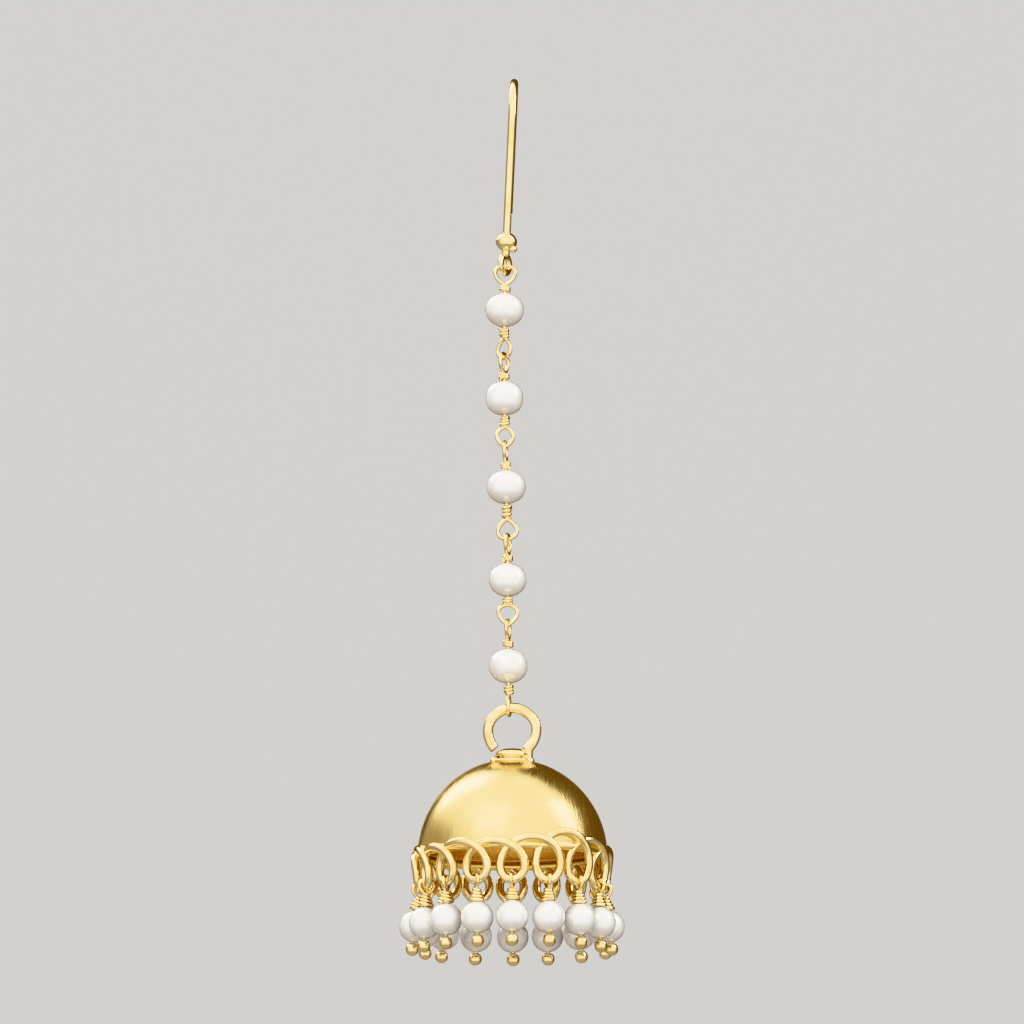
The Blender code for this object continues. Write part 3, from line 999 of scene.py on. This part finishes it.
@dataclass
class ChainLink:
    """One chain pearl on its own wire: a loop, wraps, the shank, wraps and a loop."""

    number: int
    top_across: float
    bottom_across: float
    top: WireLoop
    bottom: WireLoop
    wrap_above: WireWrap
    wrap_below: WireWrap
    turns_below: int
    pearl: DrilledPearl
    turns_above: int = 2
    wire: float = 0.40
    pearl_gap: float = 0.10

    def __post_init__(self) -> None:
        """Takes the link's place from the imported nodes' boxes."""
        low, high = node_box(self.wire_node)
        middle = node_middle(self.pearl_node)
        top = np.array([self.top_across, 0, high[2] - self.wire / 2])
        bottom = np.array([self.bottom_across, 0, low[2] + self.wire / 2])
        self.stand = Placement.along(middle, top - bottom, BACK)
        self.reach_up = np.linalg.norm(top - middle)
        self.reach_down = np.linalg.norm(middle - bottom)

    @property
    def wire_node(self) -> str:
        """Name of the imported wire."""
        return f"link_wire_{self.number}"

    @property
    def pearl_node(self) -> str:
        """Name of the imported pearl."""
        return f"chain_pearl_{self.number}"

    def build_wire(self, finish: Material) -> Piece:
        """Makes the link's wire.

        Args:
            finish: its material.

        Returns:
            The wire.
        """
        seat = self.pearl.height / 2 + self.pearl_gap
        neck_up = seat + self.turns_above * self.wire
        neck_down = -seat - self.turns_below * self.wire
        shank = np.linspace(neck_down, neck_up, 24)[:, None] * UP
        skin = Skin()
        skin.add_wire(self.stand.put(shank), self.wire, self.stand.aim(RIGHT))
        ends = (
            (self.top, neck_up, self.reach_up, self.wrap_above, seat),
            (self.bottom, neck_down, -self.reach_down, self.wrap_below, -seat),
        )
        for loop, neck, far, wrap, pearl_side in ends:
            line = self.stand.put(loop.path(neck, far, self.wire))
            skin.add_wire(line, self.wire, self.stand.aim(loop.square()), closed=True)
            inward = math.copysign(self.wire / 2, neck)
            coil = wrap.path(neck - inward / 2, pearl_side + inward, self.wire)
            skin.add_wire(self.stand.put(coil), self.wire, self.stand.aim(UP))
        return skin.to_object(f"link_{self.number}_wrapped_wire", finish)

    def build_pearl(self, finish: Material) -> Piece:
        """Makes the link's pearl.

        Args:
            finish: its material.

        Returns:
            The pearl.
        """
        skin = Skin()
        skin.add_grid(self.stand.put(self.pearl.grid(self.number)), ring=True)
        return skin.to_object(f"link_{self.number}_pearl", finish)

    def dress(self, wire_finish: Material, pearl_finish: Material) -> None:
        """Builds the wire and the pearl in their finishes and hangs them on the chain's body."""
        fit(self.build_wire(wire_finish), Body.CHAIN, Slot.WIRE, self.wire_node)
        fit(self.build_pearl(pearl_finish), Body.CHAIN, Slot.PEARL, self.pearl_node)


def chain_links() -> list[ChainLink]:
    """Lays out the chain, from the hook's eye down to the open ring.

    Returns:
        Its five links, each wound a little otherwise.
    """
    # Number, how far across the two loops hang, the loops, the wraps, and what differs besides.
    return [
        ChainLink(
            1, -0.95, -1.10, WireLoop(0, neck=0.8, width=2.55), WireLoop(-48, neck=0.5),
            WireWrap(2.1, 20, flare=0.10), WireWrap(2.8, 200, tip=0.5, tip_rise=0.15),
            turns_below=3, pearl=DrilledPearl(square=0.97),
        ),
        ChainLink(
            2, -1.10, -0.98, WireLoop(66, neck=0.7), WireLoop(12, neck=0.6, far=0.7, width=2.2),
            WireWrap(2.2, 130, tip=0.55, tip_rise=0.2, flare=0.08), WireWrap(2.9, 40),
            turns_below=3, pearl=DrilledPearl(4.06, 3.66, square=0.86),
        ),
        ChainLink(
            3, -0.98, -0.70, WireLoop(84, neck=0.5), WireLoop(-10, neck=0.7, far=0.1),
            WireWrap(2.1, 250, tip=0.5), WireWrap(3.1, 330, tip=0.6, tip_rise=-0.2),
            turns_below=4, pearl=DrilledPearl(height=3.62, uneven=0.008),
        ),
        ChainLink(
            4, -0.70, -0.68, WireLoop(76, neck=0.6), WireLoop(14, neck=0.1, far=0.8, width=2.5),
            WireWrap(2.2, 100, flare=0.08), WireWrap(1.9, 300, tip=0.55),
            turns_below=2, pearl=DrilledPearl(4.02, 3.6, square=0.95),
        ),
        ChainLink(
            5, -0.68, -0.55, WireLoop(80, neck=0.8), WireLoop(84, neck=0.6),
            WireWrap(2.0, 60, flare=0.05), WireWrap(2.7, 180, tip=0.5, tip_rise=0.1),
            turns_below=3, pearl=DrilledPearl(square=0.94),
        ),
    ]


@dataclass
class JhumkaDome:
    """Spun dome with a rolled rim, and on its crown a collar, solder beads and an open ring.

    The rim's turn is in degrees about the middle of its roll, and the walls start at a share of
    that roll. The ring's cut and foot are angles from its right, its waves are (waves to a turn,
    phase, height), and its tip is the rounding of its cut end. The waist's heights are shares of
    the collar's, and the cap's points are shares of its radius and of the collar's height.
    """

    across: float = -0.22
    radius: float = 10.05
    height: float = 10.2
    wall: float = 0.6
    rim_roll: float = 0.9
    rim_turn: tuple[float, float] = (130, 410)
    wall_start: float = 0.8
    ring_width: float = 6.15
    ring_wire: float = 1.07
    ring_cut: float = math.radians(227)
    ring_foot: float = math.radians(-48)
    ring_flat: float = 0.86
    ring_tip: float = 0.14
    ring_waves: tuple[tuple[float, float, float], ...] = ((2, 0.6, 0.05), (5, 0.0, 0.03))
    cap_width: float = 3.5
    collar_waist: float = 2.9
    collar_foot: float = 4.0
    collar_height: float = 1.2
    skirt_edge: float = 0.14
    skirt_flare: float = 0.3
    collar_inner: float = 0.3
    waist_shares: tuple[float, float] = (0.16, 0.28)
    cap_shares: tuple[tuple[float, float], ...] = (
        (1.0, 0.30), (1.02, 0.46), (0.93, 0.70), (0.68, 0.90), (0.34, 0.99),
    )
    solder_width: float = 1.15
    solder_stretch: tuple[float, float] = (1.0, 1.1)
    solder_flat: float = 0.92
    solder_forward: float = 0.1
    dent: float = 0.035
    columns: int = 168
    wall_rows: int = 55

    def __post_init__(self) -> None:
        """Takes the dome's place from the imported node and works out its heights."""
        self.swing = node_box("jhumka_dome")[1][2] - self.ring_wire / 2
        self.ring_radius = (self.ring_width - self.ring_wire) / 2
        self.crown = self.swing - 2 * self.ring_radius - self.ring_wire / 2
        self.rim = self.crown - self.height
        self.rim_radius = self.radius - self.wall / 2
        self.axis = RIGHT * self.across

    def fall(self, radius: float) -> float:
        """How far the outside has fallen from the crown at a radius."""
        return self.height * (1 - math.sqrt(1 - (radius / self.radius) ** 2))

    def rim_along(self) -> float:
        """Measures the inner wall's section.

        Returns:
            How far the rim is along the shell's section, from the inside of the crown.
        """
        profile = self.shell_profile()
        steps = np.linalg.norm(np.diff(profile, axis=0), axis=1)
        return float(steps[: self.wall_rows].sum())

    def shell_profile(self) -> Array:
        """Section of the shell, from the inside of the crown down, round the rim and up.

        The two walls are quarters of ellipses, (r cos a, h sin a), and the rim is an arc of a
        circle about the middle of the wall.

        Returns:
            Radius and height above the rim of each point.
        """
        roll = self.rim_roll / 2
        start = math.asin(roll * self.wall_start / self.height)
        up = np.linspace(start, math.pi / 2, self.wall_rows + 1)[:-1]
        inside, top = self.radius - self.wall, self.height - self.wall
        inner = np.stack([inside * np.cos(up), top * np.sin(up)], axis=-1)[::-1]
        outer = np.stack([self.radius * np.cos(up), self.height * np.sin(up)], axis=-1)
        turn = np.radians(np.linspace(*self.rim_turn, 22))
        rim = np.stack([self.rim_radius + roll * np.cos(turn), roll * np.sin(turn)], axis=-1)
        return np.concatenate([inner, rim, outer])

    def add_shell(self, skin: Skin) -> None:
        """Adds the shell.

        The section is turned about the dome's axis. Six slow waves round and down it, each with
        a random phase, move the wall in and out by a few hundredths of a millimetre, as
        hand-raised metal does, and fade out towards the crown.

        Args:
            skin: the mesh that it joins.
        """
        profile = self.shell_profile()
        grid = spun(profile, self.columns)
        angle = np.linspace(0, TURN, self.columns, endpoint=False)[None, :]
        level = profile[:, 1:] / self.height * math.pi
        phase = random.Random(7)
        waves = np.zeros((len(profile), self.columns))
        for count in (2, 3, 5, 7, 9, 13):
            slope = phase.uniform(-2, 2)
            wave = np.sin(count * angle + slope * level + phase.uniform(0, TURN))
            waves += wave / math.sqrt(count)
        share = 1 + self.dent * waves * profile[:, :1] / self.radius**2
        grid[:, :, :2] *= share[:, :, None]
        inside = UP * (self.height - self.wall)
        place = self.axis + UP * self.rim
        skin.add_grid(grid + place, start=inside + place, end=UP * self.height + place)

    def add_collar(self, skin: Skin) -> None:
        """Adds the collar: a flared skirt with a low rounded cap, turned about the axis.

        Its section is a line with rounded corners, and its foot is sunk into the shell.

        Args:
            skin: the mesh that it joins.
        """
        foot, waist, cap = self.collar_foot / 2, self.collar_waist / 2, self.cap_width / 2
        level, tall = -self.fall(foot), self.collar_height
        sunk = level - self.wall / 4
        skirt = [(self.collar_inner, sunk), (foot, sunk), (foot, level + self.skirt_edge)]
        neck = [(waist + self.skirt_flare, 0.0)]
        neck += [(waist, tall * share) for share in self.waist_shares]
        top = [(cap * across, tall * up) for across, up in self.cap_shares] + [(POLE, tall)]
        grid = spun(softened(np.array(skirt + neck + top), 3), 72)
        skin.add_grid(grid + self.axis + UP * self.crown)

    def ring_path(self) -> Array:
        """Middle line of the open ring.

        It is an arc from the cut end at the lower left over the top to the lower right, with two
        slow waves in its radius, and then a line down into the collar's foot.

        Returns:
            The line's points.
        """
        turn = np.linspace(self.ring_cut, self.ring_foot, 72)
        radius = self.ring_radius
        for count, phase, height in self.ring_waves:
            radius = radius + height * np.sin(count * turn + phase)
        arc = np.stack([radius * np.cos(turn), 0 * turn, radius * np.sin(turn)], axis=-1)
        middle = self.swing - self.ring_radius
        foot = np.array([self.collar_foot / 2 - self.ring_wire / 3, 0, self.crown - middle])
        line = np.concatenate([arc, [0.5 * (arc[-1] + foot)], [foot]])
        return softened(line, 2) + self.axis + UP * middle

    def add_ring(self, skin: Skin) -> None:
        """Adds the open ring and the solder beads at its foot and across from it.

        Args:
            skin: the mesh that they join.
        """
        path, tip, flat = self.ring_path(), self.ring_tip, self.ring_flat
        skin.add_wire(path, self.ring_wire, BACK, 24, rounding=tip, flat=flat)
        out = self.collar_foot / 2 - self.solder_width / 5
        height = self.solder_width * self.solder_flat
        level = UP * (self.crown - self.fall(out)) - BACK * self.solder_forward
        for side, stretch in zip((-1, 1), self.solder_stretch):
            bead = ball_grid(self.solder_width * stretch, height, 28, 16)
            skin.add_grid(bead + self.axis + RIGHT * side * out + level)

    def build(self, shell_finish: Material, ring_finish: Material) -> list[Piece]:
        """Makes the shell, the collar and the ring.

        Args:
            shell_finish: material of the shell.
            ring_finish: material of the collar, the ring and its solder.

        Returns:
            The shell, and the collar with its ring.
        """
        shell, crown = Skin(), Skin()
        self.add_shell(shell)
        self.add_collar(crown)
        self.add_ring(crown)
        return [
            shell.to_object("dome_shell", shell_finish),
            crown.to_object("dome_collar_and_ring", ring_finish),
        ]

    def dress(self, shell_finish: Material, ring_finish: Material) -> None:
        """Builds the dome in its finishes and hangs it on its own body."""
        for piece in self.build(shell_finish, ring_finish):
            fit(piece, Body.DOME, Slot.BRUSHED, "jhumka_dome")


@dataclass
class LoopedGallery:
    """One wire looped round under the rim, with a drop hanging in each loop.

    The loops' tops stand over the rim, and rise more about one angle from the right. Their waves
    are (waves round the rim, phase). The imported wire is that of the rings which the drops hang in.
    """

    dome: JhumkaDome
    count: int = 16
    wire: float = 0.90
    loop_width: float = 3.3
    top_over_rim: float = 0.35
    top_rise: float = 1.25
    rise_at: float = math.radians(50)
    rise_power: int = 12
    top_waves: tuple[tuple[float, float], ...] = ((3, 1.0), (7, 4.0))
    top_uneven: float = 0.10
    top_out: float = 0.12
    strand_gap: float = 0.32
    packed_wire: float = 0.77
    steps: int = 56

    def __post_init__(self) -> None:
        """Takes the loops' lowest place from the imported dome, which carries them."""
        self.bottom = node_box("jhumka_dome")[0][2] + self.packed_wire / 2

    def hang_point(self, index: int) -> Array:
        """Finds where a drop hangs.

        Args:
            index: the loop's number, from 0 at the front and on towards the right.

        Returns:
            Middle of the wire at the lowest point of the loop.
        """
        angle = TURN * index / self.count - math.pi / 2
        out = self.dome.rim_radius * np.array([math.cos(angle), math.sin(angle), 0])
        return self.dome.axis + out + UP * self.bottom

    def path(self) -> Array:
        """Middle line of the looped wire.

        At t, which grows by a turn for each loop, it lies at arc length p t / 2 pi + A sin t
        round the rim, where p is the loops' spacing and A is big enough that the wire runs
        backward along the bottom. It rises from the bottom to the top by the share
        s = (1 + cos t) / 2. Its radius goes from the rim's at the bottom to that of the dome's
        outside at the top by s to the power 1.5, plus g sin t, so that two strands cross side by
        side. The top's height follows slow waves round the rim, and is greatest on one side,
        where the wire was laid higher over the dome.

        Returns:
            The points of a closed line.
        """
        turn = TURN * np.arange(self.count * self.steps) / self.steps
        about = turn / self.count
        radius = self.dome.rim_radius
        spacing = TURN * radius / self.count
        reach = (self.loop_width - self.wire) / 2 + spacing / 4
        arc = spacing * turn / TURN + reach * np.sin(turn)
        rise = self.top_rise * np.clip(np.cos(about - self.rise_at), 0, 1) ** self.rise_power
        waves = self.top_uneven * sum(np.sin(count * about + at) for count, at in self.top_waves)
        share = (1 + np.cos(turn)) / 2
        top = self.dome.rim + self.top_over_rim + rise + waves
        height = self.bottom + (top - self.bottom) * share
        over = np.clip(height - self.dome.rim, 0, None) / self.dome.height
        outside = self.dome.radius * np.sqrt(1 - over**2) + self.top_out
        out = radius + (outside - radius) * share**1.5 + self.strand_gap * np.sin(turn)
        angle = (arc - spacing / 2) / radius - math.pi / 2
        line = np.stack([out * np.cos(angle), out * np.sin(angle), height], axis=-1)
        return self.dome.axis + line

    def build(self, finish: Material) -> Piece:
        """Makes the looped wire.

        The way out from the dome's axis is its reference, because it never runs that way.

        Args:
            finish: its material.

        Returns:
            The gallery.
        """
        path = self.path()
        out = (path - self.dome.axis) * np.array([1, 1, 0])
        skin = Skin()
        skin.add_wire(path, self.wire, unit(out), 14, closed=True)
        return skin.to_object("gallery_looped_wire", finish)

    def dress(self, finish: Material) -> None:
        """Builds the gallery in the finish and hangs it on the dome's body."""
        fit(self.build(finish), Body.DOME, Slot.BRUSHED, "jhumka_dome")


@dataclass
class PearlDrop:
    """One drop of the fringe: a loop, conical wraps, a pin through a pearl, and a ball end."""

    number: int
    hang: Array
    turn: float
    wire: float = 0.35
    loop_width: float = 1.9
    loop_top: float = 0.64
    neck: float = -0.91
    cone_top: float = 0.9
    cone_foot: float = 1.9
    cone_end: float = -2.2
    cone_turns: float = 3.6
    shank_start: float = 0.1
    core_top: float = 0.22
    core_foot: float = 0.6
    pearl: DrilledPearl = DrilledPearl(3.4, 3.4, bore=0.2, square=0.98, uneven=0.003)
    pearl_middle: float = -3.91
    ball_width: float = 1.4
    ball_middle: float = -6.338
    first_seed: int = 50

    def __post_init__(self) -> None:
        """Hangs the drop from its loop's place towards its packed pearl."""
        up = self.hang - node_middle(f"drop_pearl_{self.number}")
        along_rim = np.cross(UP, self.hang * np.array([1, 1, 0]))
        self.stand = Placement.along(self.hang, up, unit(along_rim), self.turn)

    def cone_path(self) -> Array:
        """Middle line of the conical wraps.

        The radius grows evenly with the angle from the cone's top to its foot, and the height
        falls evenly. Each drop's wraps start at another angle.

        Returns:
            The line's points.
        """
        share = np.linspace(0, 1, int(26 * self.cone_turns) + 1)
        angle = TURN * self.cone_turns * share + self.number
        first, last = (self.cone_top - self.wire) / 2, (self.cone_foot - self.wire) / 2
        radius = first + (last - first) * share
        height = self.neck + (self.cone_end - self.neck) * share
        return np.stack([radius * np.cos(angle), radius * np.sin(angle), height], axis=-1)

    def build_pin(self, finish: Material) -> Piece:
        """Makes the pin with its loop, its ball and its wraps, which a plain cone fills.

        Args:
            finish: its material.

        Returns:
            The pin.
        """
        skin = Skin()
        loop = WireLoop(0, neck=0.6, width=self.loop_width)
        line = self.stand.put(loop.path(self.neck, self.loop_top, self.wire))
        skin.add_wire(line, self.wire, self.stand.aim(loop.square()), 10, closed=True)
        shank = np.linspace(self.neck - self.shank_start, self.ball_middle, 12)[:, None] * UP
        skin.add_wire(self.stand.put(shank), self.wire, self.stand.aim(RIGHT), 10)
        skin.add_wire(self.stand.put(self.cone_path()), self.wire, self.stand.aim(UP), 10)
        foot = [(POLE, self.cone_end), (self.core_foot, self.cone_end)]
        core = np.array(foot + [(self.core_top, self.neck), (POLE, self.neck)])
        skin.add_grid(self.stand.put(spun(core, 16)))
        ball = ball_grid(self.ball_width, self.ball_width, 24, 16)
        skin.add_grid(self.stand.put(ball + UP * self.ball_middle))
        return skin.to_object(f"drop_{self.number}_pin", finish)

    def build_pearl(self, finish: Material) -> Piece:
        """Makes the drop's pearl.

        Args:
            finish: its material.

        Returns:
            The pearl.
        """
        skin = Skin()
        grid = self.pearl.grid(self.first_seed + self.number)
        skin.add_grid(self.stand.put(grid + UP * self.pearl_middle), ring=True)
        return skin.to_object(f"drop_{self.number}_pearl", finish)

    def dress(self, wire_finish: Material, pearl_finish: Material) -> None:
        """Builds the pin and the pearl in their finishes and hangs them on the dome's body."""
        fit(self.build_pin(wire_finish), Body.DOME, Slot.WIRE, f"drop_pin_{self.number}")
        fit(self.build_pearl(pearl_finish), Body.DOME, Slot.PEARL, f"drop_pearl_{self.number}")


def fringe(gallery: LoopedGallery, turn_spread: float) -> list[PearlDrop]:
    """Hangs one drop in each loop of the gallery.

    Args:
        gallery: the gallery.
        turn_spread: most that a drop turns to either side, in radians.

    Returns:
        The drops, the first at the front.
    """
    turns = random.Random(16)
    return [
        PearlDrop(index + 1, gallery.hang_point(index), turns.uniform(-turn_spread, turn_spread))
        for index in range(gallery.count)
    ]


def facing(middle: Array, azimuth: float, elevation: float) -> Placement:
    """Turns a camera or a lamp to look at a point along its own -Z.

    Args:
        middle: the point.
        azimuth: 0 stands in front of the point and 90 to its right, in degrees.
        elevation: angle above the horizon, in degrees.

    Returns:
        A placement about the point whose +Z leads away from it to the camera or the lamp.
    """
    about, over = math.radians(azimuth), math.radians(elevation)
    level = RIGHT * math.sin(about) - BACK * math.cos(about)
    return Placement.along(middle, level * math.cos(over) + UP * math.sin(over), UP)


def stand_away(item: Piece, aim: Placement, distance: float) -> None:
    """Puts a camera or a lamp in its place and links it to the scene.

    Args:
        item: the camera or the lamp.
        aim: placement about the point that it looks at.
        distance: how far it stands from that point.
    """
    item.location = aim.put(UP * distance) * MM
    item.rotation_euler = Matrix(aim.axes.T.tolist()).to_euler()
    bpy.context.scene.collection.objects.link(item)


@dataclass(frozen=True)
class SoftPanel:
    """One soft light panel, aimed at the middle of the earring."""

    name: str
    azimuth: float
    elevation: float
    distance: float
    width: float
    height: float
    power: float
    colour: tuple[float, float, float] = (1.0, 0.98, 0.95)

    def light(self, middle: Array) -> None:
        """Sets the panel up.

        Args:
            middle: middle of the earring, which it faces.
        """
        lamp = bpy.data.lights.new(self.name, "AREA")
        lamp.shape = "RECTANGLE"
        lamp.size, lamp.size_y = self.width * MM, self.height * MM
        lamp.energy = self.power
        lamp.color = self.colour
        item = bpy.data.objects.new(self.name, lamp)
        item.visible_camera = False
        stand_away(item, facing(middle, self.azimuth, self.elevation), self.distance)


@dataclass
class Studio:
    """Pale floor swept up into a round backdrop, soft panels and the camera."""

    middle: Array
    tall: float
    floor_drop: float = 1000.0
    floor_radius: float = 1000.0
    sweep: float = 500.0
    wall_rise: float = 2400.0
    thickness: float = 10.0
    lens: float = 200.0
    sensor: float = 36.0
    azimuth: float = 0.0
    elevation: float = -10.5
    fill: float = 0.87
    tone: str = "Khronos PBR Neutral"
    dim_toward: tuple[float, float, float] = (0.36, 0.89, 0.28)
    front_light: Colour = (1.70, 1.67, 1.62, 1)
    side_light: Colour = (0.42, 0.35, 0.27, 1)
    ceiling_light: Colour = (1.8, 1.77, 1.70, 1)
    dim_light: Colour = (0.13, 0.068, 0.024, 1)
    floor_light: Colour = (0.52, 0.44, 0.35, 1)

    def build_backdrop(self, paper: Material) -> Piece:
        """Makes the floor and backdrop.

        The section is a level line, a quarter of a circle and an upright line, turned about the
        Z axis. Only the camera sees it, so that the earring keeps its dark sides.

        Args:
            paper: its material.

        Returns:
            The backdrop.
        """
        turn = np.linspace(0, math.pi / 2, 24)
        out = self.floor_radius + self.sweep * np.sin(turn)
        curve = np.stack([out, self.sweep * (1 - np.cos(turn))], axis=-1)
        edge = self.floor_radius + self.sweep
        outer, under = edge + self.thickness, -self.thickness
        wall = [(edge, self.wall_rise), (outer, self.wall_rise)]
        profile = np.concatenate([[(1.0, 0.0)], curve, wall, [(outer, under), (1.0, under)]])
        grid = spun(profile, 96)[::-1]
        skin = Skin()
        skin.add_grid(grid + self.middle * np.array([1, 1, 0]) - UP * self.floor_drop)
        item = skin.to_object("studio_floor_and_backdrop", paper)
        item.visible_glossy = False
        item.visible_diffuse = False
        item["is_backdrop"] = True
        return item

    def build_camera(self) -> None:
        """Makes the camera, far enough away that the earring takes up its share of the frame."""
        data = bpy.data.cameras.new("studio_camera")
        data.lens, data.sensor_width = self.lens, self.sensor
        data.clip_start, data.clip_end = MM, 10.0
        camera = bpy.data.objects.new("studio_camera", data)
        distance = self.tall / self.fill * self.lens / self.sensor
        stand_away(camera, facing(self.middle, self.azimuth, self.elevation), distance)
        bpy.context.scene.camera = camera

    def build_light(self, panels: list[SoftPanel]) -> None:
        """Sets up the panels and the room that the gold mirrors.

        The room's front wall is bright, its side walls duller and its ceiling brightest, but for
        a dim warm part behind and above the earring, and its floor is dull. Its colour follows
        smooth steps of a direction's share towards the back, of its height, and of the cosine
        between it and the middle of the dim part.

        Args:
            panels: the light panels.
        """
        for panel in panels:
            panel.light(self.middle)
        graph = Graph(bpy.data.worlds.new("soft_room"), "Background")
        direction = graph.add("ShaderNodeTexCoord").outputs["Generated"]
        behind = graph.add("ShaderNodeVectorMath", {"operation": "DOT_PRODUCT"}, in_0=direction)
        behind.inputs[1].default_value = self.dim_toward
        parts = graph.add("ShaderNodeSeparateXYZ", Vector=direction)
        level = parts.outputs["Z"]
        colour = self.front_light
        # What each step reads, where it starts and ends, and the light beyond it.
        for value, start, end, light in (
            (parts.outputs["Y"], -0.85, 0.1, self.side_light),
            (level, 0.25, 0.8, self.ceiling_light),
            (behind.outputs["Value"], 0.44, 0.68, self.dim_light),
            (level, -0.25, -0.8, self.floor_light),
        ):
            colour = graph.blend(graph.step(value, start, end), colour, light)
        graph.surface(Color=colour)
        bpy.context.scene.world = graph.owner

    def set_up(self, paper: Material, panels: list[SoftPanel]) -> None:
        """Builds the whole studio.

        Args:
            paper: material of the floor and the backdrop.
            panels: the light panels.
        """
        self.build_backdrop(paper)
        self.build_light(panels)
        self.build_camera()
        bpy.context.scene.view_settings.view_transform = self.tone
        log.info("studio: %d panels, camera at %.0f degrees up", len(panels), self.elevation)


# Name, azimuth, elevation, distance, width, height and power.
PANELS = [
    SoftPanel("key_behind_left", -130, 46, 430, 150, 280, 1.2),
    SoftPanel("fill_right", 82, 30, 430, 130, 260, 0.8),
    SoftPanel("front", -28, 34, 430, 300, 300, 0.5),
    SoftPanel("rear", 182, 4, 480, 200, 160, 0.08),
]


def main() -> None:
    """Builds the studio, then the earring from its hook down to its fringe."""
    logging.basicConfig(level=logging.INFO, format="%(message)s", force=True)
    packed_box = [list(corner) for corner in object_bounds()]
    low, high = (np.array(corner) / MM for corner in packed_box)
    paper = StudioPaper("studio_paper", (0.24, 0.238, 0.234, 1), (0.228, 0.226, 0.222, 1))
    Studio((low + high) / 2, high[2] - low[2]).set_up(paper.material(), PANELS)

    polished = BrightGold(
        "polished_gold", (1.0, 0.89, 0.53, 1), (0.95, 0.76, 0.34, 1), (0.12, 0.20)
    )
    bright_wire = BrightGold(
        "bright_gold_wire", (1.0, 0.89, 0.54, 1), (0.92, 0.70, 0.30, 1), (0.12, 0.22)
    )
    worn = BrightGold(
        "worn_gold", (1.0, 0.90, 0.56, 1), (0.90, 0.66, 0.24, 1), (0.10, 0.22), patch=1.1
    )
    lustre = PearlLustre(
        "pearl_coating", (0.78, 0.79, 0.81, 1), (0.66, 0.70, 0.76, 1), (0.80, 0.75, 0.68, 1),
        (0.22, 0.34), (1.0, 0.88, 0.76, 1),
    )
    wire_gold, pearl_white = bright_wire.material(), lustre.material()

    EarHook().dress(polished.material())
    for link in chain_links():
        link.dress(wire_gold, pearl_white)

    dome = JhumkaDome()
    brushed = BrushedGold(
        "brushed_gold", (1.0, 0.84, 0.40, 1), (0.92, 0.70, 0.24, 1), (0.15, 0.30),
        crown=dome.axis + UP * dome.crown, radius=dome.radius,
        # The inside colour is painted shade, darker and redder than the outside gold.
        rim_along=dome.rim_along(), inside=(0.66, 0.36, 0.10, 1),
    )
    crown_gold = worn.material()
    dome.dress(brushed.material(), crown_gold)
    gallery = LoopedGallery(dome)
    gallery.dress(crown_gold)
    for drop in fringe(gallery, math.radians(38)):
        drop.dress(wire_gold, pearl_white)

    log.info("the earring is dressed")


if __name__ == "__main__":
    main()
